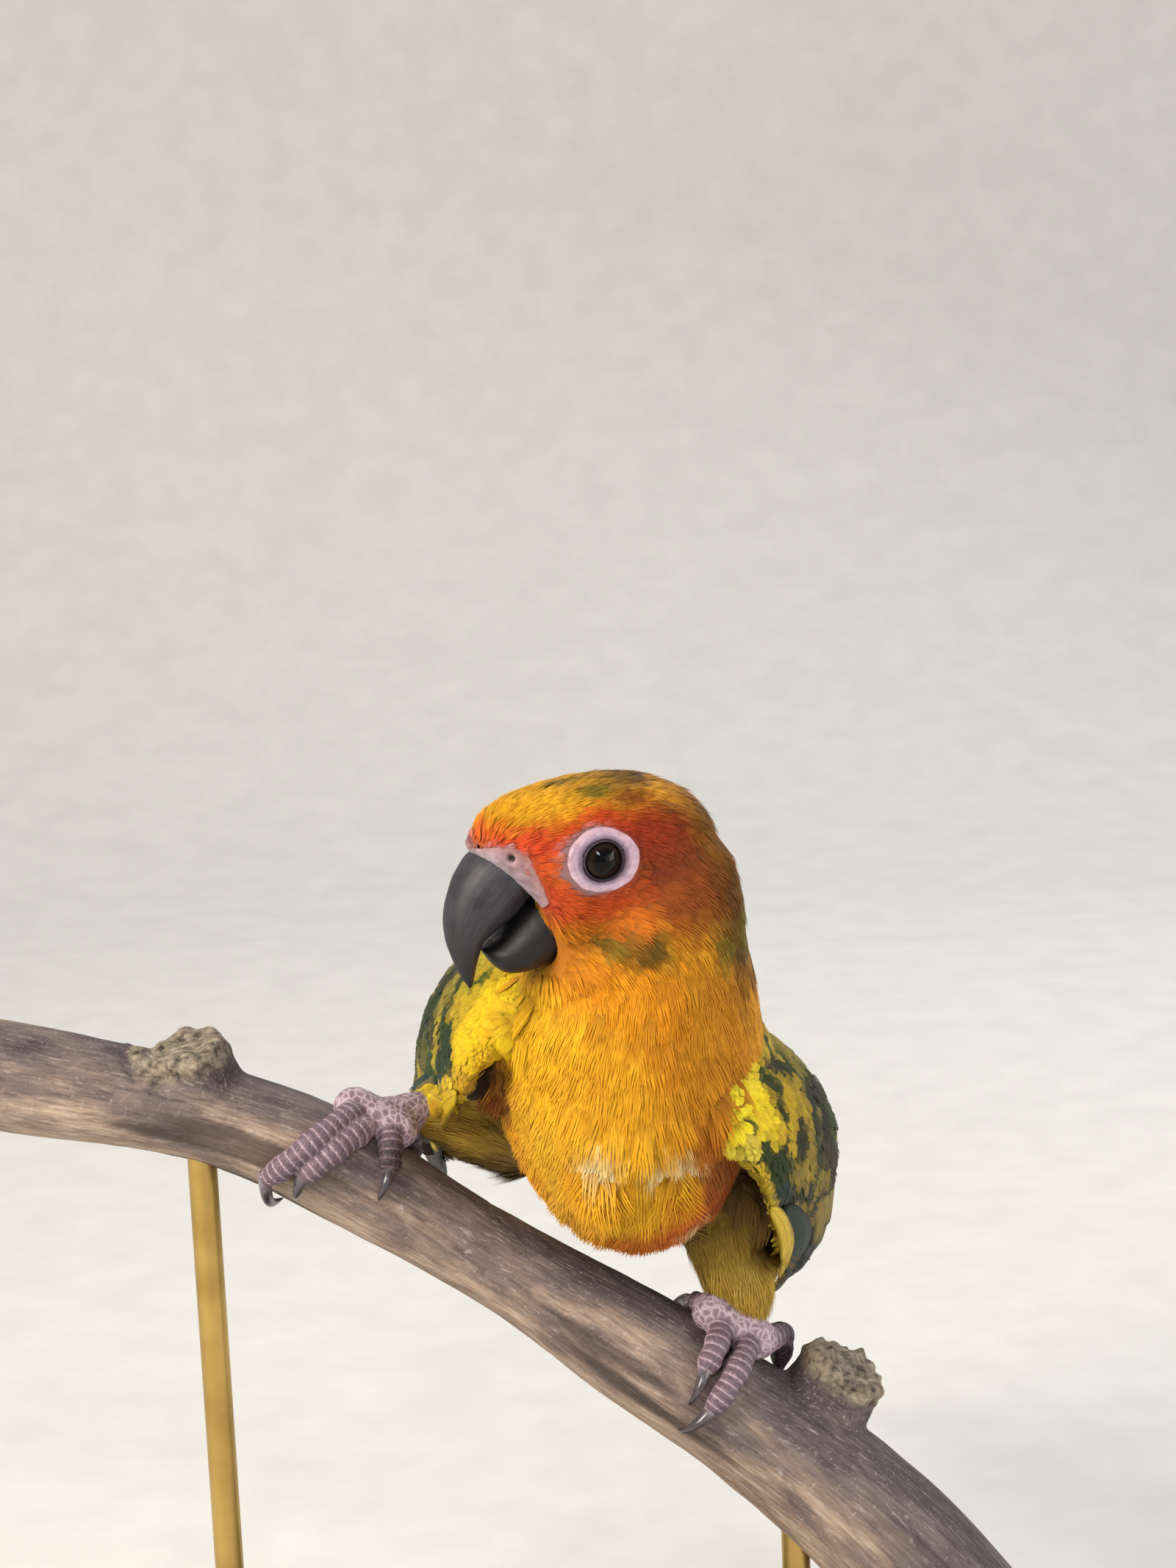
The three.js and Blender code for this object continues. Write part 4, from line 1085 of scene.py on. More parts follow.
# %% [markdown]
# What a feather is made of
# Feathers are keratin, like nails. Barbs lie side by side on each vane, finer than the eye can part,
# so they give a silky grain and a soft edge of light, not a gloss. The grain here is drawn coarser
# than the real barbs, which are a tenth of a millimetre apart, so that it shows.

# %% Feather material
# How much of the unwrap one feather's patch takes
PATCH = 0.003


def split_vane(tree):
    """A feather's tint and chance, its place along and across the vane, and how far off the shaft."""
    tint = add_node(tree, "Attribute", attribute_name="tint", output="Color")
    chance = add_node(tree, "Attribute", attribute_name="chance", output="Fac")
    along = add_node(tree, "SeparateXYZ", add_node(tree, "UVMap", uv_map="vane"))
    across = along.node.outputs["Y"]
    off_centre = add_node(tree, "Math", across, 0.5, operation="SUBTRACT")
    return tint, chance, along, across, add_node(tree, "Math", off_centre, operation="ABSOLUTE")


def drawn_out_noise(tree, parts, stretch, detail, roughness=0.5):
    """Noise over three values, each first multiplied by its stretch."""
    scaled = [
        add_node(tree, "Math", part, by, operation="MULTIPLY") for part, by in zip(parts, stretch)
    ]
    vector = add_node(tree, "CombineXYZ", *scaled)
    return add_node(tree, "TexNoise", vector, Scale=1.0, Detail=detail, Roughness=roughness)


def feather_material(name, roughness, sheen, grain_depth, tip_light, root_shade=0.45):
    """Keratin vanes that take their colour from the markings under their roots."""
    material, tree, shader = new_material(
        name, Roughness=roughness, Sheen_Weight=sheen, Sheen_Roughness=0.4, IOR=1.54,
        Specular_IOR_Level=0.12)
    tint, chance, along, across, off_shaft = split_vane(tree)
    # Barbs run from the shaft outwards and towards the tip
    lean = add_node(tree, "Math", along, 0.15, operation="MULTIPLY")
    slant = add_node(tree, "Math", across, lean, operation="SUBTRACT")
    barbs = drawn_out_noise(tree, (along, slant, chance), (1.6, 16.0, 40.0), 2.0)
    grain = add_node(tree, "ValToRGB", barbs, stops=[
        (0.28, "#8f8f8f"), (0.5, "#c6c6c6"), (0.72, "#ffffff")])
    colour = add_node(tree, "Mix", grain_depth, tint, grain, **DARKENED)
    # Some feathers are warmer and darker than their neighbours, some lighter
    vary = add_node(tree, "ValToRGB", chance, stops=[
        (0.0, "#c9b49c"), (0.45, "#e6e0d6"), (1.0, "#ffffff")])
    colour = add_node(tree, "Mix", 0.55, colour, vary, **DARKENED)
    tip = add_node(tree, "Math", along, 3.0, operation="POWER")
    tip = add_node(tree, "Math", tip, tip_light, operation="MULTIPLY")
    colour = add_node(tree, "Mix", tip, colour, "#ffe9a0", data_type="RGBA", blend_type="SOFT_LIGHT")
    # The root end is darker: partly the grey down at a feather's base, partly painted shade where the
    # feathers over it shade it
    root = add_node(tree, "ValToRGB", along, stops=[(0.1, "#5c4a38"), (0.5, "#ffffff")])
    colour = add_node(tree, "Mix", root_shade, colour, root, **DARKENED)
    ribbed = add_node(tree, "Math", barbs, off_shaft, operation="SUBTRACT")
    finish(tree, shader, colour, ribbed, 0.25, 0.12)
    return material


PLUMAGE = feather_material("contour_feather_keratin", 0.7, 0.05, 0.55, 0.25)
DOWNY = feather_material("downy_feather_keratin", 0.85, 0.12, 0.6, 0.4)
COVERT_VANE = feather_material("covert_feather_keratin", 0.6, 0.02, 0.45, 0.1, 0.5)

# %% [markdown]
# The coat
# One Geometry Nodes tree clothes any part of the skin. It scatters roots no closer than a set
# distance, stands a feather on each with its flat side to the skin and its tip along the lie, and
# varies its length, turn and tilt a little, with fixed seeds. It then makes the feathers real, and
# gives each one its patch of the unwrap.

# %% Geometry Nodes tree for the coat


def coat_tree():
    """The tree that clothes a mesh that carries lie, out, reach, tint, cover and the unwrap."""
    tree = bpy.data.node_groups.new("coat", "GeometryNodeTree")
    face = tree.interface
    face.new_socket("Geometry", in_out="INPUT", socket_type="NodeSocketGeometry")
    for name, kind in (("Feathers", "Collection"), ("Spacing", "Float"), ("Seed", "Int"),
                       ("Tilt", "Float"), ("Turn", "Float"), ("Vane", "Material")):
        face.new_socket(name, in_out="INPUT", socket_type="NodeSocket" + kind)
    face.new_socket("Geometry", in_out="OUTPUT", socket_type="NodeSocketGeometry")
    given = add_node(tree, "NodeGroupInput").node.outputs
    named = {
        name: add_node(tree, "GeometryNodeInputNamedAttribute", data_type=kind, Name=name)
        for name, kind in (("cover", "FLOAT"), ("out", "FLOAT_VECTOR"), ("lie", "FLOAT_VECTOR"),
                           ("reach", "FLOAT"), ("vane", "FLOAT_VECTOR"), ("root_map", "FLOAT_VECTOR"))
    }
    own, tilted, turned_by, rolled, longer = (
        add_node(tree, "FunctionNodeRandomValue", low, high, data_type="FLOAT", Seed=seed)
        for low, high, seed in (
            (0.0, 1.0, 5), (-1.3, -0.7, 6), (-1.0, 1.0, 7), (-0.16, 0.16, 8), (0.82, 1.15, 9)))
    roots = add_node(
        tree, "GeometryNodeDistributePointsOnFaces", given["Geometry"],
        distribute_method="POISSON", Distance_Min=given["Spacing"], Density_Max=9.0e6,
        Density_Factor=named["cover"], Seed=given["Seed"])
    roots = add_node(
        tree, "GeometryNodeStoreNamedAttribute", roots, data_type="FLOAT", domain="POINT",
        Name="chance", Value=own)
    upright = add_node(
        tree, "FunctionNodeAxesToRotation", named["out"], named["lie"], primary_axis="Z",
        secondary_axis="X")
    tilt = add_node(tree, "Math", given["Tilt"], tilted, operation="MULTIPLY")
    turn = add_node(tree, "Math", given["Turn"], turned_by, operation="MULTIPLY")
    angles = add_node(tree, "CombineXYZ", rolled, tilt, turn)
    nudge = add_node(tree, "FunctionNodeEulerToRotation", angles)
    lean = add_node(tree, "FunctionNodeRotateRotation", upright, nudge, rotation_space="LOCAL")
    length = add_node(tree, "Math", named["reach"], longer, operation="MULTIPLY")
    shapes = add_node(
        tree, "GeometryNodeCollectionInfo", given["Feathers"], Separate_Children=True,
        Reset_Children=True)
    pick = add_node(
        tree, "FunctionNodeRandomValue", 0, SHAPE_VARIANTS - 1, data_type="INT", Seed=10)
    feathers = add_node(
        tree, "GeometryNodeInstanceOnPoints", roots, Instance=shapes, Pick_Instance=True,
        Instance_Index=pick, Rotation=lean, Scale=length)
    feathers = add_node(tree, "GeometryNodeRealizeInstances", feathers)
    # Each feather's own flat map, made as small as a patch, is set down at its root's place
    patch = add_node(tree, "VectorMath", named["vane"], PATCH, operation="SCALE")
    place = add_node(tree, "VectorMath", named["root_map"], patch, operation="ADD")
    feathers = add_node(
        tree, "GeometryNodeStoreNamedAttribute", feathers, data_type="FLOAT2", domain="CORNER",
        Name="OFBake", Value=place)
    feathers = add_node(tree, "GeometryNodeSetMaterial", feathers, Material=given["Vane"])
    add_node(tree, "NodeGroupOutput", feathers)
    return tree


COAT_TREE = coat_tree()

# %% Clothe one part of the skin
PLAIN_VALUES = ("lie", "out", "reach", "cover", "root_map")


def tidy_coat(piece):
    """Drops what only the making needed, and spreads the bake map over the whole square."""
    for name in PLAIN_VALUES:
        layer = piece.data.attributes.get(name)
        if layer:
            piece.data.attributes.remove(layer)
    layer = piece.data.uv_layers["OFBake"]
    place = np.empty(len(piece.data.loops) * 2)
    layer.uv.foreach_get("vector", place)
    place = place.reshape(-1, 2)
    low, high = place.min(0), place.max(0)
    place = 0.01 + (place - low) / np.maximum(high - low, 1e-6) * 0.98
    layer.uv.foreach_set("vector", place.ravel())
    piece.data.shade_smooth()


def faces_of(cover):
    """A copy of the skin with only the faces that this part of the coat grows from."""
    base = skin.copy()
    base.data = skin.data.copy()
    bpy.context.collection.objects.link(base)
    store(base.data, "cover", "FLOAT", cover)
    base.data.uv_layers["OFBake"].name = "root_map"
    reworked(base.data, lambda build: bmesh.ops.delete(
        build, geom=[v for v in build.verts if cover[v.index] <= 0], context="VERTS"))
    return base


def clothe(name, cover, shape, spacing, tilt, turn, material, seed):
    """Grows one piece of the coat where cover is above nothing."""
    base = faces_of(cover)
    modifier = base.modifiers.new("coat", "NODES")
    modifier.node_group = COAT_TREE
    values = {
        "Feathers": FEATHER_SETS[shape], "Spacing": spacing * MM, "Seed": seed,
        "Tilt": math.radians(tilt), "Turn": math.radians(turn), "Vane": material,
    }
    for item in COAT_TREE.interface.items_tree:
        if item.in_out == "INPUT" and item.name in values:
            modifier[item.identifier] = values[item.name]
    piece = evaluated_copy(name, base)
    tidy_coat(piece)
    print(name, "triangles:", sum(len(p.vertices) - 2 for p in piece.data.polygons))
    return piece


# %% Where feathers grow
OPEN_SKIN = smooth_step(bare_face(SKIN_POINTS), 0.02, 0.12)


def away_from(points, names, limit):
    """1 where a point is further than the limit from these nodes' surfaces, 0 nearer."""
    free = np.ones(len(points))
    for name in names:
        surface = search_tree(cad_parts[name].data)
        low, high = (np.array(corner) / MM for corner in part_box(name))
        close = np.all((points > low - limit) & (points < high + limit), axis=1)
        for i in np.flatnonzero(close):
            if surface.find_nearest(Vector(points[i]) * MM, limit * MM)[0] is not None:
                free[i] = 0.0
    return free


OPEN_SKIN = OPEN_SKIN * away_from(
    SKIN_POINTS, ["bill_upper", "bill_lower", "cere", "tongue", "eye_left", "eye_right"], 0.7)
ON_WING = np.maximum(SHARES["wing_left"], SHARES["wing_right"])
ON_LEG = np.maximum(SHARES["leg_left"], SHARES["leg_right"])
ON_HEAD = SHARES["head"]
print("open skin:", round(float(OPEN_SKIN.mean()), 3))

# %% Which part of the coat grows where
# One piece of the coat ends and the next begins here. Most overlap a little, so that no gap shows
FACE_LONGEST, HEAD_SHORTEST = 3.75, 3.7
NECK_BASE, BREAST_TOP, BREAST_BACK = 163.0, 164.0, -8.0
WRIST_END, WING_COAT_START, WING_COAT_END, UNDERWING_END = 27.0, 25.0, 79.0, 76.0

plain = OPEN_SKIN * (ON_WING < 0.5) * (ON_LEG < 0.5)
on_face, on_body = plain * (ON_HEAD > 0.35), plain * (ON_HEAD <= 0.4)
upper = HEAD.local(SKIN_POINTS)[:, 2] > -30
front = SKIN_POINTS[:, 1] < BREAST_BACK
on_tail = SHARES["tail"] > 0.3
below_neck = on_body * (SKIN_POINTS[:, 2] <= BREAST_TOP) * ~on_tail
WRISTS, UNDERWINGS, WING_X = {}, {}, {}
for side, wing in WINGS.items():
    x, y, z = wing.axes.local(SKIN_POINTS).T
    outer = z > wing.rise(x, y) - 0.6
    WING_X[side] = x
    middle, half = wing.span(x)
    bare_rim = 1.6 + 3.0 * smooth_step(x, 60, 68)
    low_rim = (x > 34) & (middle - y > half * wing.roundness(x) - bare_rim) & (side == "left")
    high_rim = (x > 46) & (y - middle > half * wing.roundness(x) - 2.2)
    WRISTS[side] = SHARES["wing_" + side] * ((outer & (x < WING_COAT_END)) | (x < 5)) * ~low_rim * ~high_rim
    UNDERWINGS[side] = SHARES["wing_" + side] * (1 - WRISTS[side]) * ~outer * (x < UNDERWING_END)
tufted = np.zeros(len(SKIN_POINTS))
for centre, half in TUFTS:
    away = np.linalg.norm((SKIN_POINTS - np.array(centre)) / np.array(half), axis=1)
    tufted = np.maximum(tufted, 1 - smooth_step(away, 0.5, 1.0))
print("places on the wings:", int((ON_WING > 0.5).sum()), "on the legs:", int((ON_LEG > 0.5).sum()))

# %% Coat of the head, body, legs and wings
PARTS = [
    # name, where, shape, spacing, tilt, turn, material, seed
    ("coat_face", on_face * (REACH < FACE_LONGEST), "face", 0.5, 10, 9, PLUMAGE, 11),
    ("coat_head", on_face * (REACH >= HEAD_SHORTEST), "face", 0.56, 9, 9, PLUMAGE, 12),
    ("coat_neck", on_body * (ON_HEAD + upper > 0) * (SKIN_POINTS[:, 2] > NECK_BASE), "strand",
     0.66, 9, 12, PLUMAGE, 13),
    ("coat_breast", below_neck * front, "strand", 0.7, 9, 13, PLUMAGE, 14),
    ("coat_back", below_neck * ~front, "body", 1.0, 9, 10, PLUMAGE, 15),
    ("coat_rump", plain * on_tail, "body", 1.6, 7, 8, PLUMAGE, 16),
    ("coat_thigh_left", SHARES["leg_left"] * OPEN_SKIN, "down", 0.7, 14, 12, DOWNY, 17),
    ("coat_thigh_right", SHARES["leg_right"] * OPEN_SKIN, "down", 0.7, 14, 12, DOWNY, 18),
    ("coat_wrist_left", WRISTS["left"] * (WING_X["left"] < WRIST_END), "wing", 0.75, 8, 7, COVERT_VANE, 19),
    ("coat_wrist_right", WRISTS["right"] * (WING_X["right"] < WRIST_END), "wing", 0.75, 8, 7,
     COVERT_VANE, 20),
    ("coat_wing_left", WRISTS["left"] * (WING_X["left"] >= WING_COAT_START), "wing", 1.25, 7, 5,
     COVERT_VANE, 24),
    ("coat_wing_right", WRISTS["right"] * (WING_X["right"] >= WING_COAT_START), "wing", 1.25, 7, 5,
     COVERT_VANE, 25),
    ("coat_underwing_left", UNDERWINGS["left"], "covert", 1.5, 8, 8, COVERT_VANE, 21),
    ("coat_underwing_right", UNDERWINGS["right"], "covert", 1.5, 8, 8, COVERT_VANE, 22),
    ("coat_tufts", tufted * OPEN_SKIN, "down", 0.55, 26, 50, DOWNY, 23),
]
coat = {}
for name, where, shape, spacing, tilt, turn, material, seed in PARTS:
    coat[name] = clothe(name, np.asarray(where, float), shape, spacing, tilt, turn, material, seed)

# %% The skin's finish, darkened as painted shade
# The skin is dull, and takes the coat's tint darkened as painted shade, so a gap between the feathers reads
# as depth
skin_material, tree, shader = new_material("bird_skin_under_down", Roughness=0.85, IOR=1.4)
under = add_node(tree, "Attribute", attribute_name="tint", output="Color")
finish(tree, shader, add_node(tree, "Mix", 0.6, under, "#7a6048", **DARKENED))
skin.data.materials.clear()
skin.data.materials.append(skin_material)

# %% [markdown]
# Large feathers
# The quills of the wings and tail, and the coverts over their roots, are firm blades that lie in
# rows like roof tiles. Each is lofted along its own bent line on the wing's surface, cupped across,
# thickest at its shaft and closed at its edges. The rows are loops. The feathers that the picture
# shows one by one are listed, each with the colour that it has there.

# %% Shape of a large feather
VANE_ACROSS = np.array([-1.0, -0.5, 0.0, 0.5, 1.0])
VANE_OUTLINE = curve_of([[0, 0.25], [0.12, 0.7], [0.5, 1.0], [0.8, 0.92], [0.93, 0.6], [1, 0.12]])
CELL_MARGIN = 0.06


def bent_line(root, middle, tip, shares):
    """A line from root to tip that is drawn towards its middle point."""
    s = shares[:, None]
    return (1 - s) ** 2 * np.array(root) + 2 * s * (1 - s) * np.array(middle) + s ** 2 * np.array(tip)


# %% Many large feathers in one mesh


class Vanes:
    """Many large feathers gathered into one mesh."""

    def __init__(self):
        self.points, self.tints, self.chances = [], [], []
        self.faces, self.vane, self.box = [], [], []
        self.count = 0

    def add(self, place, root, tip, half, colours, middle=None, lift=(0.2, 1.0), cup=0.15,
            thickness=0.45, rows=10, end_colour=None):
        """One feather. place turns (x, y, lift) into points. The colours are its middle's and edge's."""
        source = np.random.default_rng(self.count)
        middle = np.add(root, tip) / 2 if middle is None else middle
        shares = 1 - (1 - np.linspace(0, 1, rows)) ** 1.4
        centre = bent_line(root, middle, tip, shares)
        along = unit(np.gradient(centre, axis=0))
        across = np.stack([-along[:, 1], along[:, 0]], -1)
        ragged = 1 + source.uniform(-0.06, 0.06, (rows, 5)) * smooth_step(shares, 0.4, 0.9)[:, None]
        width = half * VANE_OUTLINE(shares)[:, None]
        flat = centre[:, None] + across[:, None] * (width * VANE_ACROSS * ragged)[..., None]
        height = lift[0] + (lift[1] - lift[0]) * shares[:, None] - cup * width * VANE_ACROSS ** 2
        top = place(flat[..., 0], flat[..., 1], height)
        depth = thickness * (1 - 0.75 * np.abs(VANE_ACROSS)) * (1 - 0.6 * shares[:, None])
        under = place(flat[..., 0], flat[..., 1], height - depth)
        top_index = len(self.points) + np.arange(rows * 5).reshape(rows, 5)
        self.points += list(top.reshape(-1, 3)) + list(under[1:-1, 1:-1].reshape(-1, 3))
        under_index = top_index.copy()
        under_index[1:-1, 1:-1] = top_index[-1, -1] + 1 + np.arange((rows - 2) * 3).reshape(rows - 2, 3)
        body, edge = (rgb(code) for code in colours)
        near_tip = smooth_step(shares, 0.86, 1.0)[:, None]
        rim = np.maximum(smooth_step(np.abs(VANE_ACROSS), 0.55, 1.0), near_tip)
        tint = body + (edge - body) * rim[..., None]
        if end_colour:
            tint = laid_over(tint, end_colour, smooth_step(shares, 0.35, 0.85)[:, None])
        self.tints += list(tint.reshape(-1, 3)) + list(tint[1:-1, 1:-1].reshape(-1, 3))
        self.chances += [source.uniform()] * (rows * 5 + (rows - 2) * 3)
        vane = np.stack(np.meshgrid(shares, 0.5 + VANE_ACROSS / 2, indexing="ij"), -1)
        for side, index in enumerate((top_index, under_index)):
            for i in range(rows - 1):
                for k in range(4):
                    ring = [(i, k), (i + 1, k), (i + 1, k + 1), (i, k + 1)][::1 - 2 * side]
                    self.faces.append([int(index[p]) for p in ring])
                    self.vane += [vane[p] for p in ring]
                    self.box += [2 * self.count + side] * 4
        self.count += 1

    def build(self, name, material):
        """The mesh object. Each face of each feather has its own cell of the bake map."""
        piece = mesh_object(name, np.array(self.points), self.faces)
        mesh = piece.data
        store(mesh, "tint", "FLOAT_COLOR", np.concatenate([self.tints, np.ones((len(self.tints), 1))], 1))
        store(mesh, "chance", "FLOAT", self.chances)
        vane, box = np.array(self.vane), np.array(self.box)
        mesh.uv_layers.new(name="vane").uv.foreach_set("vector", vane.ravel())
        side = math.ceil(math.sqrt(2 * self.count))
        cell = np.stack([box % side, box // side], -1) + CELL_MARGIN + (1 - 2 * CELL_MARGIN) * vane
        mesh.uv_layers.new(name="OFBake").uv.foreach_set("vector", (cell / side).ravel())
        mesh.materials.append(material)
        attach(piece, BODY)
        print(name, "feathers:", self.count, "triangles:", 2 * len(self.faces))
        return piece


# %% Material of the large feathers
def blade_material(name, roughness, barb_scale):
    """Firm vanes: barbs slant from a dark shaft towards the tip on both sides."""
    material, tree, shader = new_material(
        name, Roughness=roughness, IOR=1.54, Specular_IOR_Level=0.08)
    tint, chance, along, across, off_shaft = split_vane(tree)
    lean = add_node(tree, "Math", off_shaft, 0.45, operation="MULTIPLY")
    slant = add_node(tree, "Math", along, lean, operation="SUBTRACT")
    barbs = drawn_out_noise(tree, (slant, across, chance), (barb_scale, 2.0, 50.0), 3.0, 0.6)
    grain = add_node(tree, "ValToRGB", barbs, stops=[
        (0.3, "#8c8c8c"), (0.5, "#cfcfcf"), (0.7, "#ffffff")])
    colour = add_node(tree, "Mix", 0.6, tint, grain, **DARKENED)
    vary = add_node(tree, "ValToRGB", chance, stops=[
        (0.0, "#c8bda8"), (0.5, "#ece8e0"), (1.0, "#ffffff")])
    colour = add_node(tree, "Mix", 0.7, colour, vary, **DARKENED)
    shaft = add_node(tree, "Math", off_shaft, 0.03, operation="LESS_THAN")
    shaft = add_node(tree, "Math", shaft, 0.35, operation="MULTIPLY")
    finish(tree, shader, add_node(tree, "Mix", shaft, colour, "#2a1f14", **MIXED), barbs, 0.3, 0.1)
    return material


QUILL = blade_material("quill_feather_keratin", 0.55, 60.0)

# %% Rows of the wing
GREEN, LEAF, DARK, INK = "#2f3d17", "#465621", "#282d14", "#1e1f18"
STRAW, BROWN = "#c4ac2b", "#3b3020"
PRIMARY_TIPS = [(152, -1), (145, 5), (134, 11), (122, 17), (109, 23)]
PRIMARY_MIDDLES = [(96, -6), (92, 0), (84, 6), (74, 12), (64, 17)]
PRIMARY_ROOTS = [(62, -9), (62, -5.5), (60, -1.5), (58, 3), (56, 8)]


def outside(wing):
    """Places points on the outer face of the folded wing."""

    def place(x, y, lift):
        return wing.place(x, y, lift + 0.3 * WING_THICKNESS(x) * wing.roundness(x))

    return place


def hidden_rows(vanes, place):
    """The quills and greater coverts, of which the picture shows only ends and edges."""
    ends = zip(PRIMARY_ROOTS, PRIMARY_MIDDLES, PRIMARY_TIPS)
    for k, (root, middle, tip) in enumerate(ends):
        low = 0.22 * k - 0.5
        vanes.add(place, root, tip, 5.0 + 0.3 * k, (DARK, INK), middle, (low - 0.3, low), rows=16)
    for k in range(6):
        tip = (103 - 6.5 * k, 17.5 + 1.7 * k - 0.05 * k * k)
        root = (58 - 1.5 * k, 7 + 2.8 * k)
        low = 0.08 * k - 0.3
        colours = (GREEN, LEAF) if k < 4 else (LEAF, STRAW)
        vanes.add(place, root, tip, 5.2, colours, None, (low - 0.4, low), rows=12)


# %% Feathers that the picture shows one by one
# Tip, length, degrees below the wing's axis, half width, colours of middle and edge, from far to near
SEEN_FEATHERS = {
    "left": [
        ((112, -3.5), 56, 0, 3.4, INK, DARK), ((107, -7.5), 54, 2, 3.0, INK, DARK),
        ((101, -4.5), 50, 2, 3.4, "#8a761f", "#4c441a"), ((93, -10.0), 46, 4, 2.8, "#1d2a26", INK),
        ((92, -2.5), 46, 2, 3.2, "#8f7b22", DARK), ((84, -6.5), 44, 3, 3.0, "#8f7b22", "#5a501c"),
        ((83, -13.2), 44, 4, 3.0, "#39461f", DARK), ((78, -12.8), 44, 5, 2.6, "#1f2f2a", INK),
        ((68, -13.2), 40, 7, 2.3, "#203028", DARK),
        ((57, -15.0), 36, 9, 1.35, "#f0d044", "#c9a844"), ((45, -13.9), 26, 11, 1.4, "#f0d044", "#d8b83c"),
    ],
    "right": [
        ((94, -4.0), 50, 2, 3.4, "#38401c", INK), ((88, -8.5), 44, 3, 3.2, INK, BROWN),
        ((80, -11.0), 38, 4, 3.0, BROWN, INK), ((74, -9.6), 38, 5, 2.8, "#384a4c", INK),
        ((66, -11.2), 36, 6, 2.4, "#e8c93a", "#c9ab36"), ((54, -11.4), 30, 8, 2.4, "#dcba30", "#c09c2e"),
    ],
}


def seen_rows(vanes, place, side):
    """The feathers that the picture shows one by one. Those nearer the wrist lie on top."""
    for number, (tip, length, dip, half, body, edge) in enumerate(SEEN_FEATHERS[side]):
        angle = math.radians(dip)
        root = (tip[0] - length * math.cos(angle), tip[1] + length * math.sin(angle))
        middle = ((tip[0] + root[0]) / 2, (tip[1] + root[1]) / 2 + 0.05 * length)
        top = 0.5 + 0.1 * number
        vanes.add(
            place, root, tip, half, (body, edge), middle, (top - 1.9, top), thickness=0.3, rows=14)


wing_vanes = {}
for side, wing in WINGS.items():
    vanes = Vanes()
    hidden_rows(vanes, outside(wing))
    seen_rows(vanes, outside(wing), side)
    wing_vanes[side] = vanes.build("quills_" + side, QUILL)

# %% [markdown]
# The bare parts of the head
# Round the eye the real bird has a ring of bare lilac skin, wrinkled in fine circles, that ends in
# a dark lid. Over the bill's root lies the cere, a soft band of the same skin with the nostrils in
# it. Both are lofted on the head's surface, because a skin of 0.8 mm faces can't hold such folds.

# %% Surface of the skin, to lay things on
SKIN_TREE = search_tree(skin.data)


def lay_on_skin(points, inwards, reach=12.0):
    """Moves each point along a direction onto the skin. Points that miss it stay."""
    laid = np.array(points, float)
    for i, point in enumerate(laid):
        start = Vector(point - unit(inwards) * reach) * MM
        spot = SKIN_TREE.ray_cast(start, Vector(unit(inwards)), 2 * reach * MM)[0]
        if spot is not None:
            laid[i] = np.array(spot) / MM
    return laid


def grid_faces(rows, columns, closed=False, flip=False):
    """The faces of a grid of points, row after row. Closed joins the last column to the first."""
    faces = []
    for i in range(rows - 1):
        for k in range(columns if closed else columns - 1):
            a, b = i * columns + k, i * columns + (k + 1) % columns
            ring = (a, b, b + columns, a + columns)
            faces.append(ring[::-1] if flip else ring)
    return faces


# %% Ring of bare skin round each eye
EYE_PLACE = np.array([3.8, 8.5, 1.6])
EYE_RADIUS = 4.4
EYE_OPENING = 2.85
RING_CENTRE = np.array([4.0, 1.8])
RING_SIZE = np.array([6.1, 5.3])
RING_ROWS, RING_SIDES = 30, 120


def eye_ring(side):
    """A wrinkled ring from the lid's edge to under the feathers."""
    sign = 1 if side == "left" else -1
    angle = np.linspace(0, 2 * np.pi, RING_SIDES, endpoint=False)[None]
    share = np.linspace(0, 1, RING_ROWS)[:, None]
    wobble = 1 + 0.02 * np.sin(2 * angle + 1) + 0.012 * np.sin(5 * angle) + 0.008 * np.sin(13 * angle)
    inner = EYE_OPENING * np.stack([np.cos(angle), np.sin(angle) * 0.97], -1) + EYE_PLACE[[0, 2]]
    outer = RING_SIZE * (wobble[..., None] * np.stack([np.cos(angle), np.sin(angle)], -1)) + RING_CENTRE
    flat = inner + (outer - inner) * share[..., None]
    local = np.stack([flat[..., 0], np.full(flat.shape[:2], sign * 14.0), flat[..., 1]], -1)
    inwards = HEAD.turn((0, -sign, 0))
    ground = HEAD.local(lay_on_skin(HEAD.world(local.reshape(-1, 3)), inwards)).reshape(local.shape)
    height = np.abs(ground[..., 1])
    lid = EYE_PLACE[1] + math.sqrt(EYE_RADIUS ** 2 - EYE_OPENING ** 2) + 0.12
    rise = lid + (height + 0.2 - lid) * smooth_step(share, 0.1, 0.45)
    rise = np.maximum(rise, height + 0.12)
    rise += 0.34 * np.exp(-((share - 0.11) / 0.07) ** 2)
    rise -= 0.5 * smooth_step(share, 0.03, 0.0)
    folds = 0.03 * np.sin(34 * share + 2.6 * np.sin(2 * angle) + 1.7 * np.sin(5 * angle + 9 * share))
    creases = 0.04 * np.sin(30 * angle + 7 * share + 2 * np.sin(6 * angle)) * smooth_step(share, 0.95, 0.3)
    rise += (folds + creases) * smooth_step(share, 0.14, 0.3)
    rise -= 0.55 * smooth_step(share, 0.72, 1.0)
    points = np.stack([flat[..., 0], sign * rise, flat[..., 1]], -1).reshape(-1, 3)
    faces = grid_faces(RING_ROWS, RING_SIDES, True, side == "left")
    ring = mesh_object("eye_ring_" + side, HEAD.world(points), faces)
    store(ring.data, "across", "FLOAT", np.broadcast_to(share, (RING_ROWS, RING_SIDES)))
    return ring


# Red light goes twice as far through skin as green and blue
FLESH_GLOW = (0.6, 0.3, 0.3)

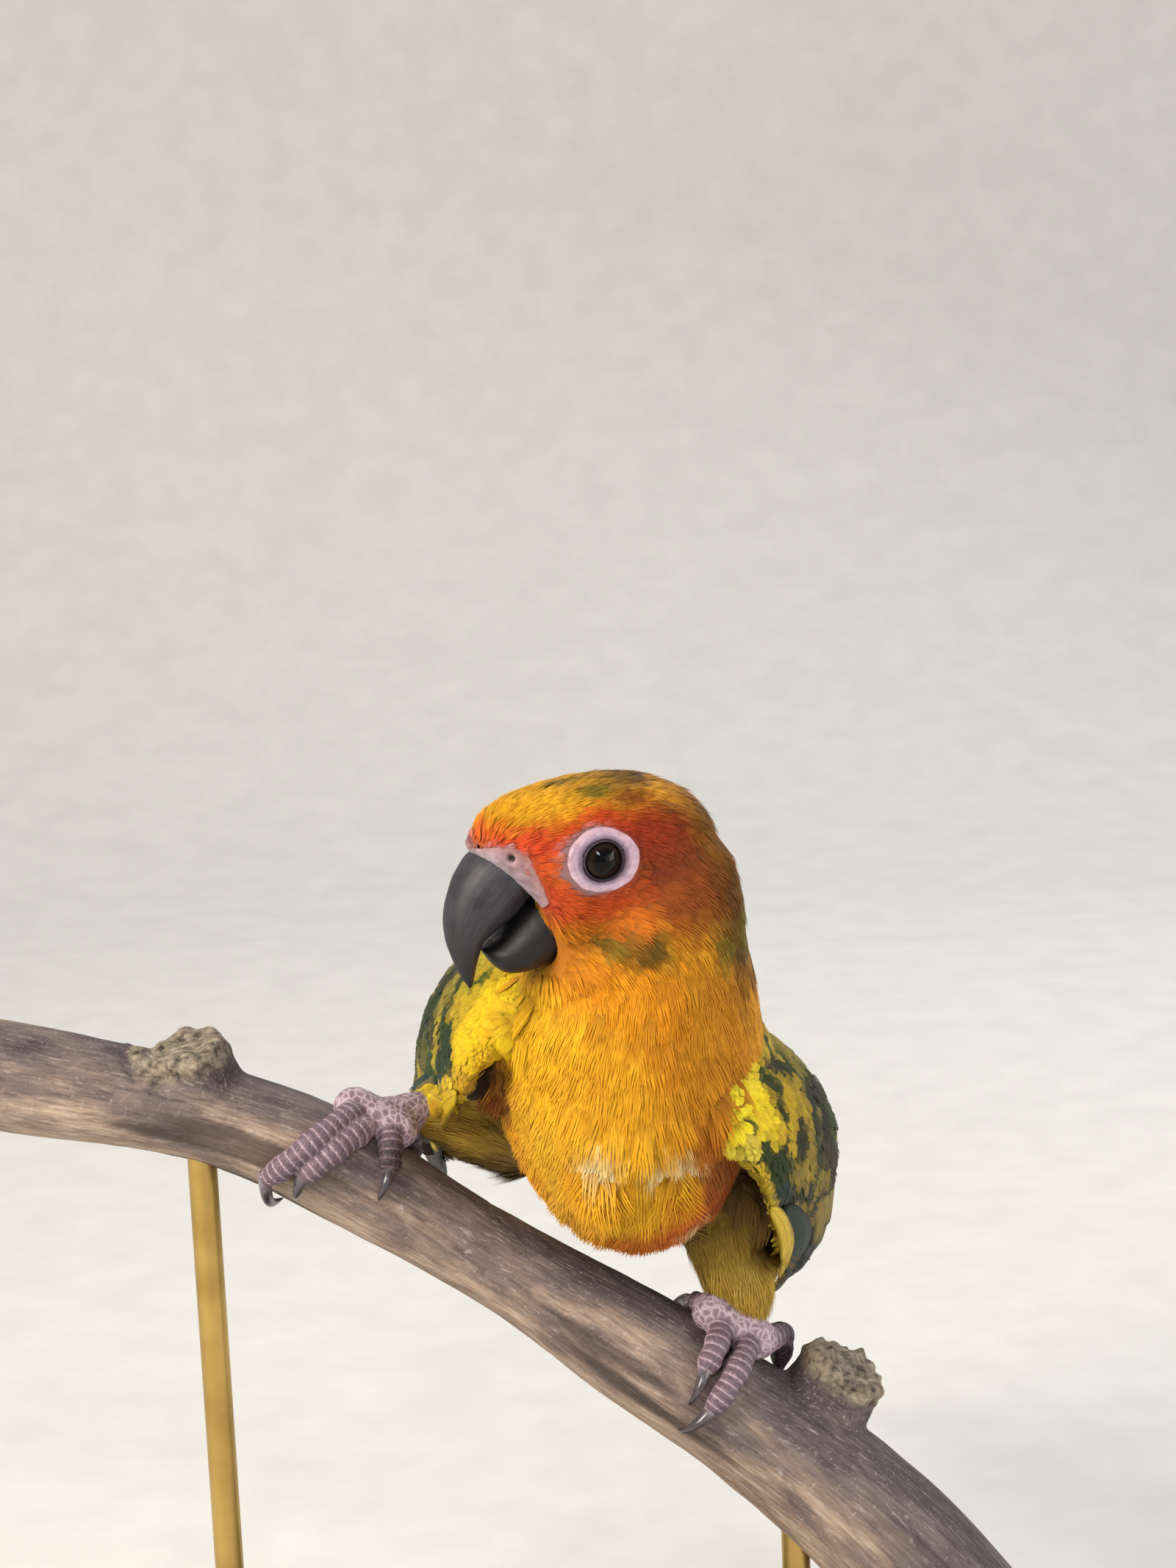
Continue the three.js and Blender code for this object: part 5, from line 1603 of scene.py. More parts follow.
# Bare skin is matt, lets a little light through and is finely pitted, so it looks thin and dry
bare_skin, tree, shader = new_material(
    "bare_lilac_skin", Roughness=0.62, IOR=1.4, Specular_IOR_Level=0.4, Subsurface_Weight=0.12,
    Subsurface_Radius=FLESH_GLOW, Subsurface_Scale=0.6 * MM)
across = add_node(tree, "Attribute", attribute_name="across", output="Fac")
place = add_node(tree, "TexCoord", output="Object")
pitted = add_node(tree, "TexNoise", place, Scale=900.0, Detail=3.0)
# The ring darkens towards the eye: partly the lid's own dark grey-purple, partly painted shade where the lid
# meets the eyeball
ring_colour = add_node(tree, "ValToRGB", across, stops=[
    (0.0, "#211b1f"), (0.13, "#4b3d48"), (0.28, "#837080"), (0.48, "#b8a0b0"), (0.8, "#c9abb5"),
    (1.0, "#b98a8c")])
pores = add_node(tree, "ValToRGB", pitted, stops=[(0.35, "#b9a3ac"), (0.65, "#ffffff")])
finish(tree, shader, add_node(tree, "Mix", 0.45, ring_colour, pores, **DARKENED), pitted, 0.35, 0.12)
eye_rings = {side: eye_ring(side) for side in WINGS}
for ring in eye_rings.values():
    ring.data.materials.append(bare_skin)
print("faces in an eye ring:", len(eye_rings["left"].data.polygons))

# %% Eyes
CORNEA_HALF = 2.6
CORNEA_RISE = 0.35
EYE_ROWS, EYE_SIDES = 48, 64


def eyeball(side):
    """A ball with the bulge of the cornea at its front, its pole on the axis of sight."""
    sign = 1 if side == "left" else -1
    tilt = np.linspace(0, np.pi, EYE_ROWS)[:, None]
    turn = np.linspace(0, 2 * np.pi, EYE_SIDES, endpoint=False)[None]
    off = EYE_RADIUS * np.sin(tilt)
    in_front = tilt < np.pi / 2
    bulge = CORNEA_RISE * (1 - smooth_step(off, 0, CORNEA_HALF)) * in_front
    y = sign * (EYE_RADIUS * np.cos(tilt) + bulge) + 0 * turn
    local = np.stack([off * np.cos(turn), y, off * np.sin(turn)], -1) + EYE_PLACE * (1, sign, 1)
    faces = grid_faces(EYE_ROWS, EYE_SIDES, True, side == "left")
    eye = mesh_object("eyeball_" + side, HEAD.world(local.reshape(-1, 3)), faces)
    off_axis = np.broadcast_to(np.where(in_front, off, 9.0), (EYE_ROWS, EYE_SIDES))
    store(eye.data, "off_axis", "FLOAT", off_axis)
    return eye


# A wet cornea mirrors a lamp as one small sharp spot, over an iris that is nearly black
glass_eye, tree, shader = new_material(
    "wet_cornea_over_dark_iris", Roughness=0.03, IOR=1.38, Specular_IOR_Level=0.25)
off_axis = add_node(tree, "Attribute", attribute_name="off_axis", output="Fac")
spread = add_node(tree, "Math", off_axis, EYE_RADIUS, operation="DIVIDE")
iris = add_node(tree, "ValToRGB", spread, stops=[
    (0.0, "#030304"), (0.40, "#050405"), (0.46, "#1a100c"), (0.56, "#24160f"), (0.62, "#0e0a0a"),
    (1.0, "#0c0909")])
finish(tree, shader, iris)
eyes = {side: eyeball(side) for side in WINGS}
for eye in eyes.values():
    eye.data.materials.append(glass_eye)
print("faces in an eyeball:", len(eyes["left"].data.polygons))

# %% Cere with the nostrils
NOSTRIL = np.array([17.1, 8.1, 3.4])
CERE_ROWS, CERE_COLUMNS = 26, 141


def cere_band():
    """The swollen band over the bill's root, mirrored from its left half."""
    stations = np.linspace(0, 1, len(CERE_OUTER))
    along = np.linspace(-1, 1, CERE_COLUMNS)
    edges = []
    for half_line in (CERE_INNER, CERE_OUTER):
        lines = [curve_of(np.stack([stations, half_line[:, k]], -1)) for k in range(3)]
        edge = np.stack([line(1 - np.abs(along)) for line in lines], -1)
        edges.append(edge * np.stack([np.ones_like(along), -np.sign(along), np.ones_like(along)], -1))
    share = np.linspace(0, 1, CERE_ROWS)[:, None, None]
    local = edges[0] + (edges[1] - edges[0]) * share
    out = unit(local - np.array([8.0, 0, -2.0]))
    swell = 0.55 * np.sin(np.pi * np.clip(share * 1.15, 0, 1)) - 0.7 * smooth_step(share, 0.8, 1.0)
    swell = swell - 0.5 * smooth_step(share, 0.12, 0.0)
    hollow = np.minimum(*(
        np.linalg.norm(local - NOSTRIL * (1, s, 1), axis=-1, keepdims=True) for s in (1, -1)))
    swell = swell - 0.8 * np.exp(-(hollow / 0.75) ** 2) + 0.36 * np.exp(-((hollow - 1.45) / 0.5) ** 2)
    folds = 0.06 * np.sin(9 * share * np.pi + 3 * np.sin(26 * along[None, :, None]))
    local = local + out * (swell + folds)
    faces = grid_faces(CERE_ROWS, CERE_COLUMNS)
    band = mesh_object("cere_band", HEAD.world(local.reshape(-1, 3)), faces)
    store(band.data, "across", "FLOAT", np.broadcast_to(share[..., 0], (CERE_ROWS, CERE_COLUMNS)))
    store(band.data, "hollow", "FLOAT", hollow)
    return band


# The cere is soft skin with a dusty bloom, pale at the bill, and its shallow nostril hollows are darkened as
# painted shade
cere_skin, tree, shader = new_material(
    "soft_cere_skin", Roughness=0.6, IOR=1.4, Subsurface_Weight=0.12,
    Subsurface_Radius=FLESH_GLOW, Subsurface_Scale=0.6 * MM)
across = add_node(tree, "Attribute", attribute_name="across", output="Fac")
hollow = add_node(tree, "Attribute", attribute_name="hollow", output="Fac")
place = add_node(tree, "TexCoord", output="Object")
grime = add_node(tree, "TexNoise", place, Scale=700.0, Detail=4.0)
colour = add_node(tree, "ValToRGB", across, stops=[
    (0.0, "#cfc5cb"), (0.16, "#9f9098"), (0.5, "#a68b90"), (1.0, "#a8766f")])
dirt = add_node(tree, "ValToRGB", grime, stops=[(0.35, "#a28d92"), (0.65, "#ffffff")])
colour = add_node(tree, "Mix", 0.5, colour, dirt, **DARKENED)
# Painted shade: the shallow nostril hollows are darkened to stand in for deep holes
nostril_shade = add_node(tree, "ValToRGB", hollow, stops=[
    (0.0, "#0e0809"), (0.55, "#2b1a1e"), (1.0, "#ffffff")])
finish(tree, shader, add_node(tree, "Mix", 1.0, colour, nostril_shade, **DARKENED), grime, 0.4, 0.15)
cere = cere_band()
cere.data.materials.append(cere_skin)
print("faces in the cere:", len(cere.data.polygons))

# %% [markdown]
# The bill
# Both halves are horn: dark slate grey, dull from wear near the root, polished towards the tip, with
# fine growth lines along the curve. They are lofted through the same sections as the solids, with
# many more steps, a fuller side and a keener cutting edge.

# %% Sections of the bill
# Ridge x and z, edge x and z, half width, in the head's axes
UPPER_BILL = np.array([
    (16.5, 3.4, 9.5, -3.4, 6.4), (19.8, 3.3, 11.6, -4.8, 6.3), (23, 0.1, 14.6, -7.4, 5.6),
    (25.2, -4.9, 17.9, -9.4, 4.6), (25.6, -9, 19.9, -10.8, 3.5), (25, -12.2, 20.9, -12.9, 2.5),
    (24, -15.2, 21.7, -15.4, 1.4), (22.8, -17.6, 22.3, -17.5, 0.3),
])
LOWER_BILL = np.array([
    (7.8, -13.6, 8.2, -5.0, 5.4), (10.4, -15.2, 11.6, -4.4, 6.1), (14.2, -16.2, 14.8, -7.2, 5.7),
    (17.6, -15.6, 17.9, -10.4, 4.4), (20.3, -12.6, 20.2, -11.2, 2.6),
])
BILL_STEPS, BILL_SIDES = 72, 56


def bill_half(name, stations, keen, blunt_end):
    """One half of the bill. Keen narrows it towards its cutting edge."""
    places = np.linspace(0, 1, len(stations))
    values = [curve_of(np.stack([places, column], -1)) for column in stations.T]
    share = np.linspace(0, 1, BILL_STEPS) ** 0.9
    ridge_x, ridge_z, edge_x, edge_z, half = (value(share)[:, None] for value in values)
    turn = np.linspace(0, 2 * np.pi, BILL_SIDES, endpoint=False)[None]
    across = np.sign(np.cos(turn)) * np.abs(np.cos(turn)) ** 0.9
    side = np.sign(np.sin(turn)) * np.abs(np.sin(turn)) ** 0.85
    side = side * (1 - keen * smooth_step(-across, 0.1, 1.0))
    beyond = np.clip(share[:, None] - blunt_end, 0, 1) / (1 - blunt_end + 1e-6)
    end = np.maximum(np.sqrt(np.clip(1 - beyond ** 2, 0, 1)), 0.04)
    x = (ridge_x + edge_x) / 2 + (ridge_x - edge_x) / 2 * across * end
    z = (ridge_z + edge_z) / 2 + (ridge_z - edge_z) / 2 * across * end
    y = side * half * end
    ripple = 0.05 * np.sin(60 * share[:, None] + 3 * across) * np.exp(-share[:, None] * 3)
    local = np.stack([x + ripple, y, z + ripple], -1)
    points, faces = closed_tube([HEAD.world(ring) for ring in local])
    piece = mesh_object(name, points, faces)
    reworked(piece.data, face_outwards)
    run = np.concatenate([[0.0], np.repeat(share, BILL_SIDES), [1.0]])
    store(piece.data, "run", "FLOAT", run)
    around = np.concatenate([[0.0], np.tile(across[0], BILL_STEPS), [0.0]])
    store(piece.data, "around", "FLOAT", around)
    return piece


# %% Horn of the bill


def horn_material(name, dark, light, wear):
    """Polished horn: growth lines that follow the curve, and dull scuffed patches near the root."""
    material, tree, shader = new_material(name, IOR=1.55, Specular_IOR_Level=0.35)
    run = add_node(tree, "Attribute", attribute_name="run", output="Fac")
    around = add_node(tree, "Attribute", attribute_name="around", output="Fac")
    place = add_node(tree, "TexCoord", output="Object")
    scuffs = add_node(tree, "TexNoise", place, Scale=260.0, Detail=5.0, Roughness=0.65)
    growth = drawn_out_noise(tree, (run, around), (5.0, 15.0), 3.0)
    worn = add_node(tree, "Math", 1.0, run, operation="SUBTRACT")
    worn = add_node(tree, "Math", worn, scuffs, operation="MULTIPLY")
    worn = add_node(tree, "Math", worn, wear, operation="MULTIPLY", use_clamp=True)
    colour = add_node(tree, "Mix", worn, dark, light, **MIXED)
    streaks = add_node(tree, "ValToRGB", growth, stops=[(0.35, "#8d8d8d"), (0.62, "#ffffff")])
    colour = add_node(tree, "Mix", 0.5, colour, streaks, **DARKENED)
    rough = add_node(tree, "Math", scuffs, 0.35, 0.36, operation="MULTIPLY_ADD")
    tree.links.new(rough, shader.inputs["Roughness"])
    relief = add_node(tree, "Math", scuffs, 0.6, growth, operation="MULTIPLY_ADD")
    finish(tree, shader, colour, relief, 0.22, 0.12)
    return material


horn = horn_material("slate_horn", "#110e11", "#55545c", 1.2)
bill_upper = bill_half("bill_upper_horn", UPPER_BILL, 0.45, 0.93)
bill_lower = bill_half("bill_lower_horn", LOWER_BILL, 0.12, 0.72)
dark_horn = horn_material("black_horn", "#0c090a", "#242023", 0.9)
bill_upper.data.materials.append(horn)
bill_lower.data.materials.append(dark_horn)

# %% Tongue
TONGUE_LINE = {"back": (7.5, -6.4), "front": (19.2, -11.9), "half": 3.2, "height": 1.6}


def tongue_body():
    """The blunt thick tongue of a parrot, with a groove along its top."""
    rings = []
    angle = np.linspace(0, 2 * np.pi, 32, endpoint=False)
    for share in np.linspace(0, 1, 24):
        x, z = (np.interp(share, (0, 1), ends) for ends in zip(TONGUE_LINE["back"], TONGUE_LINE["front"]))
        blunt = max((1 - abs(2 * share - 1) ** 2.6) ** 0.5, 0.04)
        y = TONGUE_LINE["half"] * blunt * np.cos(angle)
        up = TONGUE_LINE["height"] * blunt * np.sin(angle)
        up = up - 0.35 * blunt * np.exp(-(y / 0.8) ** 2) * (np.sin(angle) > 0)
        rings.append(HEAD.world(np.stack([np.full_like(y, x), y, z + up], -1)))
    return mesh_object("tongue_body", *closed_tube(rings))


# Moist skin has a shine that its small bumps break up
tongue_flesh, tree, shader = new_material("moist_tongue_skin", Roughness=0.4, Specular_IOR_Level=0.5)
place = add_node(tree, "TexCoord", output="Object")
papillae = add_node(tree, "TexNoise", place, Scale=1600.0)
colour = add_node(tree, "ValToRGB", papillae, stops=[(0.3, "#2a1d21"), (0.7, "#4a373b")])
finish(tree, shader, colour, papillae, 0.3, 0.08)
tongue = tongue_body()
tongue.data.materials.append(tongue_flesh)
print("triangles in the upper bill:", 2 * BILL_STEPS * BILL_SIDES)

# %% [markdown]
# The tail
# A sun conure's tail is long and stepped: twelve quills, the middle pair longest and on top. They are
# olive gold above with blue-green ends and dusky below. The coat already covers their roots.

# %% Tail feathers
TAIL_PAIRS = 6
TAIL_LENGTH = 130.0
TAIL_SHORTER = 0.42
TAIL_FAN = {"first": 1.4, "step": 1.15, "spread": 1.25, "half": 6.0}
TAIL_RISE = 0.022


def tail_place(x, y, lift):
    """Places points on the tail. Lift is upwards from its middle plane."""
    x, y, lift = np.broadcast_arrays(x, y, lift)
    return TAIL.world(np.stack([x, y, -lift - TAIL_RISE * y ** 2], -1))


tail_feathers = Vanes()
for pair in reversed(range(TAIL_PAIRS)):
    length = TAIL_LENGTH * (1 - TAIL_SHORTER * (pair / (TAIL_PAIRS - 1)) ** 1.3)
    for side in (-1, 1):
        beside = side * (TAIL_FAN["first"] + TAIL_FAN["step"] * pair)
        low = -0.5 * pair - (0.35 if side > 0 else 0.0)
        colours = ("#7c7a2a", "#5d6428") if pair < 3 else ("#6a6a2c", "#4d5528")
        tail_feathers.add(
            tail_place, (2.0, beside), (length, beside * TAIL_FAN["spread"]), TAIL_FAN["half"],
            colours, None, (low, low), 0.1, 0.5, 22, "#2f4f5c")
tail_quills = tail_feathers.build("tail_quills", QUILL)

# %% [markdown]
# The branch
# The perch is a length of dead wood, worn by many feet: a grey-purple skin of old bark above, tan
# wood where it has rubbed through, and the stumps of two side branches, one torn and one crumbling.
# Its tubes are joined and remeshed as the skin was, and then roughened along the grain.

# %% Line of the branch
BRANCH_LINE = np.array([
    # x, z, radius
    (-106, 152, 8.8), (-77, 145.5, 8.6), (-50, 136, 8.4), (-20, 116, 7.9),
    (12, 92.5, 10), (36, 73, 11.2), (51, 57, 11.4), (66, 37, 11.6),
])
FRONT = np.array([0.0, -1.0, 0.0])
BRANCH_HEIGHT = curve_of(BRANCH_LINE[:, :2])
BRANCH_RADIUS = curve_of(BRANCH_LINE[:, [0, 2]])


def branch_at(x):
    """Centre, axis and upward normal of the branch at places along X."""
    x = np.asarray(x, float)
    ends = [np.stack([x + step, 0 * x, BRANCH_HEIGHT(x + step)], -1) for step in (-0.5, 0.0, 0.5)]
    axis = unit(ends[2] - ends[0])
    return ends[1], axis, np.stack([-axis[..., 2], 0 * x, axis[..., 0]], -1)


def branch_places(points):
    """For points near the branch: the place along X, and their offset to the front and upwards."""
    x = points[:, 0]
    for _ in range(6):
        centre, axis, up = branch_at(x)
        x = x + ((points - centre) * axis).sum(1) * axis[:, 0]
        x = np.clip(x, BRANCH_LINE[0, 0], BRANCH_LINE[-1, 0])
    offset = points - centre
    return x, offset @ FRONT, (offset * up).sum(1)


# %% Join the branch and its stumps into one surface
BRANCH_STEPS, BRANCH_SIDES = 200, 72
BRANCH_LUMP = 0.022
BRANCH_VOXEL = 0.62
STUMPS = [
    # foot, top, radius at each
    ((-65, 1, 142), (-67.5, -1, 154.4), 9.0, 6.2),
    ((30, 3, 78), (40.0, 2, 93.4), 9.5, 6.9),
]


def branch_tube():
    """The branch itself, a little lumpy."""
    rings = []
    angle = np.linspace(0, 2 * np.pi, BRANCH_SIDES, endpoint=False)
    for share in np.linspace(0, 1, BRANCH_STEPS):
        x = BRANCH_LINE[0, 0] + (BRANCH_LINE[-1, 0] - BRANCH_LINE[0, 0]) * share
        centre, _, up = branch_at(x)
        lump = 1 + BRANCH_LUMP * (np.sin(3 * angle + 14 * share) + np.sin(23 * share))
        reach = (BRANCH_RADIUS(x) * lump)[:, None]
        rings.append(centre + reach * (np.cos(angle)[:, None] * up + np.sin(angle)[:, None] * FRONT))
    return closed_tube(rings)


def straight_tube(foot, top, low, high, sides=40, steps=12):
    """A straight tapering tube between two points."""
    foot, top = np.array(foot, float), np.array(top, float)
    axis = unit(top - foot)
    across = unit(np.cross(axis, (0.3, 1.0, 0.1)))
    angle = np.linspace(0, 2 * np.pi, sides, endpoint=False)[:, None]
    ring = np.cos(angle) * across + np.sin(angle) * np.cross(axis, across)
    return closed_tube([
        foot + (top - foot) * share + (low + (high - low) * share) * ring
        for share in np.linspace(0, 1, steps)
    ])


branch = one_surface(
    "branch_wood", [branch_tube()] + [straight_tube(*stump) for stump in STUMPS], BRANCH_VOXEL, 5)

# %% Roughen the wood
branch_points, branch_out = points_of(branch.data), normals_of(branch.data)
place, to_front, upwards = branch_places(branch_points)
grain_place = np.stack([place, to_front, upwards], -1)
torn = np.zeros(len(place))
push = 0.3 * wander(branch_points, 24.0, 51) + 0.05 * wander(grain_place * (0.3, 1, 1), 1.7, 52)
fissure = smooth_step(wander(grain_place * (0.13, 1, 1), 3.4, 53), 0.45, 0.95)
push -= 0.22 * fissure * smooth_step(upwards, 7, -2)
push -= 0.1 * smooth_step(wander(grain_place * (0.5, 1, 1), 2.2, 54), 0.7, 1.0)
for number, (foot, top, _, _) in enumerate(STUMPS):
    axis = unit(np.subtract(top, foot))
    along = (branch_points - foot) @ axis
    beside = np.linalg.norm(branch_points - foot - along[:, None] * axis, axis=1)
    length = np.linalg.norm(np.subtract(top, foot))
    broken = smooth_step(along, length - 4.5, length - 1.5) * (beside < 9)
    torn = np.maximum(torn, broken)
    seed = 61 + 10 * number
    rough = wander(branch_points, 3.6, seed) + 0.9 * wander(branch_points, 1.9, seed + 1)
    push += (0.42 + 0.2 * number) * rough * smooth_step(along, length - 6, length - 2) * (beside < 10.5)
sawn = np.zeros(len(place))
for end, sign in ((0, -1), (-1, 1)):
    centre, axis, _ = branch_at(BRANCH_LINE[end, 0])
    sawn = np.maximum(sawn, smooth_step(sign * (branch_points - centre) @ axis, -0.9, -0.3))
push *= 1 - 0.7 * sawn
move_points(branch.data, branch_points + branch_out * push[:, None])
store(branch.data, "grain_place", "FLOAT_VECTOR", grain_place)
store(branch.data, "upwards", "FLOAT", upwards / 10)
store(branch.data, "torn", "FLOAT", torn)
store(branch.data, "sawn", "FLOAT", sawn)
store(branch.data, "from_heart", "FLOAT", np.hypot(to_front, upwards))
store(branch.data, "fissure", "FLOAT", fissure * smooth_step(upwards, 8, 0))
print("branch triangles:", 2 * len(branch.data.polygons))

# %% Bark, bare wood and scratches


def stretched_noise(tree, place, stretch, scale, detail=3.0, roughness=0.55):
    """Noise on a place that is stretched along some of its axes."""
    vector = add_node(tree, "VectorMath", place, stretch, operation="MULTIPLY")
    return add_node(tree, "TexNoise", vector, Scale=scale, Detail=detail, Roughness=roughness)


# Dead wood is dull, a little smoother where feet have worn it, and darkest in its cracks
bark, tree, shader = new_material("weathered_bark_and_wood", IOR=1.5, Specular_IOR_Level=0.3)
wood_place = add_node(tree, "Attribute", attribute_name="grain_place", output="Vector")
stored = {
    name: add_node(tree, "Attribute", attribute_name=name, output="Fac")
    for name in ("upwards", "fissure", "torn", "sawn", "from_heart")
}
blotches = stretched_noise(tree, wood_place, (0.35, 1.0, 1.0), 0.16, 5.0, 0.6)
height_share = add_node(tree, "Math", stored["upwards"], 0.2, operation="MULTIPLY")
tone = add_node(tree, "Math", blotches, height_share, operation="SUBTRACT")
colour = add_node(tree, "ValToRGB", tone, stops=[
    (0.24, "#574d4f"), (0.36, "#776a69"), (0.46, "#86776f"), (0.54, "#a08c7e"), (0.63, "#bfa995")])
fibres = stretched_noise(tree, wood_place, (0.12, 1.0, 1.0), 1.7, 4.0, 0.6)
grain = add_node(tree, "ValToRGB", fibres, stops=[
    (0.3, "#8c8384"), (0.5, "#d8d3d1"), (0.7, "#ffffff")])
colour = add_node(tree, "Mix", 0.75, colour, grain, **DARKENED)
specks = stretched_noise(tree, wood_place, (0.8, 1.0, 1.0), 1.5, 3.0, 0.7)
specks = add_node(tree, "ValToRGB", specks, stops=[(0.60, "#000000"), (0.70, "#707070")])
colour = add_node(tree, "Mix", specks, colour, "#3a3130", **MIXED)
# Claws leave pale scratches that run across one another
for stretch, level in (((0.09, 1.0, 0.4), 0.64), ((0.8, 0.1, 0.8), 0.68), ((0.4, 0.9, 0.12), 0.67)):
    line = stretched_noise(tree, wood_place, stretch, 3.4, 3.0, 0.6)
    line = add_node(
        tree, "ValToRGB", line, stops=[(level - 0.05, "#000000"), (level + 0.06, "#c8c8c8")])
    line = add_node(tree, "Math", line, 0.6, operation="MULTIPLY")
    colour = add_node(tree, "Mix", line, colour, "#cdbfb8", **MIXED)
cracks = add_node(tree, "Math", stored["fissure"], 0.75, operation="MULTIPLY", use_clamp=True)
colour = add_node(tree, "Mix", cracks, colour, "#3b302d", **MIXED)

# %% Broken and sawn ends of the wood
crumbs = stretched_noise(tree, wood_place, (1, 1, 1), 0.75, 5.0, 0.65)
torn_wood = add_node(tree, "ValToRGB", crumbs, stops=[
    (0.34, "#37302a"), (0.47, "#776b5c"), (0.58, "#938673"), (0.72, "#b3a896")])
colour = add_node(tree, "Mix", stored["torn"], colour, torn_wood, **MIXED)
drift = add_node(tree, "Math", blotches, 9.0, operation="MULTIPLY")
rings = add_node(tree, "Math", stored["from_heart"], 5.2, drift, operation="MULTIPLY_ADD")
rings = add_node(tree, "Math", rings, operation="SINE")
rings = add_node(tree, "Math", rings, 0.5, 0.5, operation="MULTIPLY_ADD")
cut_wood = add_node(tree, "ValToRGB", rings, stops=[(0.0, "#9c8163"), (1.0, "#bda684")])
colour = add_node(tree, "Mix", stored["sawn"], colour, cut_wood, **MIXED)
dull = add_node(tree, "Math", fibres, 0.35, 0.52, operation="MULTIPLY_ADD")
tree.links.new(dull, shader.inputs["Roughness"])
relief = add_node(tree, "Math", crumbs, 0.8, fibres, operation="MULTIPLY_ADD")
finish(tree, shader, colour, relief, 0.55, 0.35)
branch.data.materials.append(bark)

# %% [markdown]
# The feet
# A parrot's foot has two toes to the front and two to the back. Plates like roof tiles cross the
# top of each toe, small scales cover the palm and sides, and their dry edges are paler than the
# skin between. The shank, palm and toes are one surface, so that no seam parts them.

# %% Places of the feet on the branch
TOE_RADIUS = (2.35, 1.85)
TOE_SINK = -0.25
SHANK_RADIUS, PALM_RADIUS = 3.2, 3.5
FEET = {
    # toe number: (start, end, tip of the claw) as (mm along, degrees from the top), arch
    "left": {
        "x": 13, "ankle": (21, 1.5, 104.5), "palm": ((17.2, -1, 104.6), (24.4, -1, 99.6)),
        "toes": {
            2: ((-2.6, 8), (-1.9, 58), (-0.8, 90), 0.6), 3: ((2.9, 4), (2.4, 82), (0.6, 118), 0.6),
            4: ((5.5, 0), (12.5, -42), (14.5, -78), 3.0), 1: ((-3.4, -6), (-7, -26), (-8.6, -58), 0.6),
        },
    },
    "right": {
        "x": -44.5, "ankle": (-30, 6, 139.5), "palm": ((-40.4, -0.5, 142.4), (-33.6, -0.5, 138.6)),
        "toes": {
            2: ((1.4, 24), (-4.4, 97), (-3.4, 128), 0.4), 3: ((-0.2, 8), (-10, 116), (-5, 168), 0.4),
            4: ((6.5, -10), (11.5, -66), (13, -104), 1.0), 1: ((4.4, 10), (7.4, 52), (8.4, 84), 0.4),
        },
    },
}


def over_branch(foot_x, slide, degrees, height):
    """Points at a height over the branch, near a foot."""
    _, axis, _ = branch_at(foot_x)
    centre, _, up = branch_at(foot_x + np.asarray(slide) * axis[0])
    angle = np.radians(degrees)[:, None]
    reach = (BRANCH_RADIUS(foot_x + np.asarray(slide) * axis[0]) + height)[:, None]
    outwards = np.cos(angle) * up + np.sin(angle) * FRONT
    return centre + reach * outwards, outwards


def toe_line(foot_x, toe, share):
    """The middle line of a toe, the way out from the branch, and the radius."""
    start, end, _, arch = toe
    radius = TOE_RADIUS[0] + (TOE_RADIUS[1] - TOE_RADIUS[0]) * share
    slide, degrees = (start[k] + (end[k] - start[k]) * share for k in (0, 1))
    line, outwards = over_branch(foot_x, slide, degrees, radius + TOE_SINK + arch * np.sin(np.pi * share))
    return line, outwards, radius


# %% Tubes of the feet


def loft_along(line, outwards, wide, high, sides=24):
    """A closed tube along a line, with its own half width and half height at each step."""
    along = unit(np.gradient(line, axis=0))
    across = unit(np.cross(along, outwards))
    upright = np.cross(across, along)
    angle = np.linspace(0, 2 * np.pi, sides, endpoint=False)[:, None]
    return closed_tube([
        centre + w * np.cos(angle) * a + h * np.sin(angle) * u
        for centre, a, u, w, h in zip(line, across, upright, wide, high)
    ])


def toe_tube(foot_x, toe):
    """A toe with the swellings of its joints and a round end."""
    share = np.linspace(-0.06, 1.04, 44)
    line, outwards, radius = toe_line(foot_x, toe, share)
    blunt = np.sqrt(np.clip(1 - np.abs((share - 0.49) / 0.57) ** 7, 0.01, 1))
    joints = 1 + 0.07 * np.cos(2 * np.pi * (share * 3 - 0.5))
    return loft_along(line, outwards, radius * joints * blunt, radius * joints * blunt * 0.96)


def capsule(start, end, radius, steps=16):
    """A straight tube with round ends."""
    start, end = np.array(start, float), np.array(end, float)
    reach = radius / np.linalg.norm(end - start)
    share = (1 - np.cos(np.linspace(0, np.pi, steps))) / 2 * (1 + 2 * reach) - reach
    line = start + (end - start) * share[:, None]
    past = np.maximum(np.maximum(-share, share - 1), 0) / reach
    wide = radius * np.sqrt(np.clip(1 - past ** 2, 0.01, 1))
    return loft_along(line, np.tile((0.2, -0.1, 1.0), (steps, 1)), wide, wide)


def foot_surface(side):
    """The shank, palm and toes in one surface."""
    foot = FEET[side]
    middle = (np.array(foot["palm"][0]) + foot["palm"][1]) / 2
    shells = [capsule(foot["ankle"], middle, SHANK_RADIUS), capsule(*foot["palm"], PALM_RADIUS)]
    shells += [toe_tube(foot["x"], toe) for toe in foot["toes"].values()]
    return one_surface("foot_skin_" + side, shells, 0.3, 4)


feet = {side: foot_surface(side) for side in WINGS}
print("triangles in a foot:", 2 * len(feet["left"].data.polygons))

# %% Plates across the toes
PLATE_STEP = 1.3


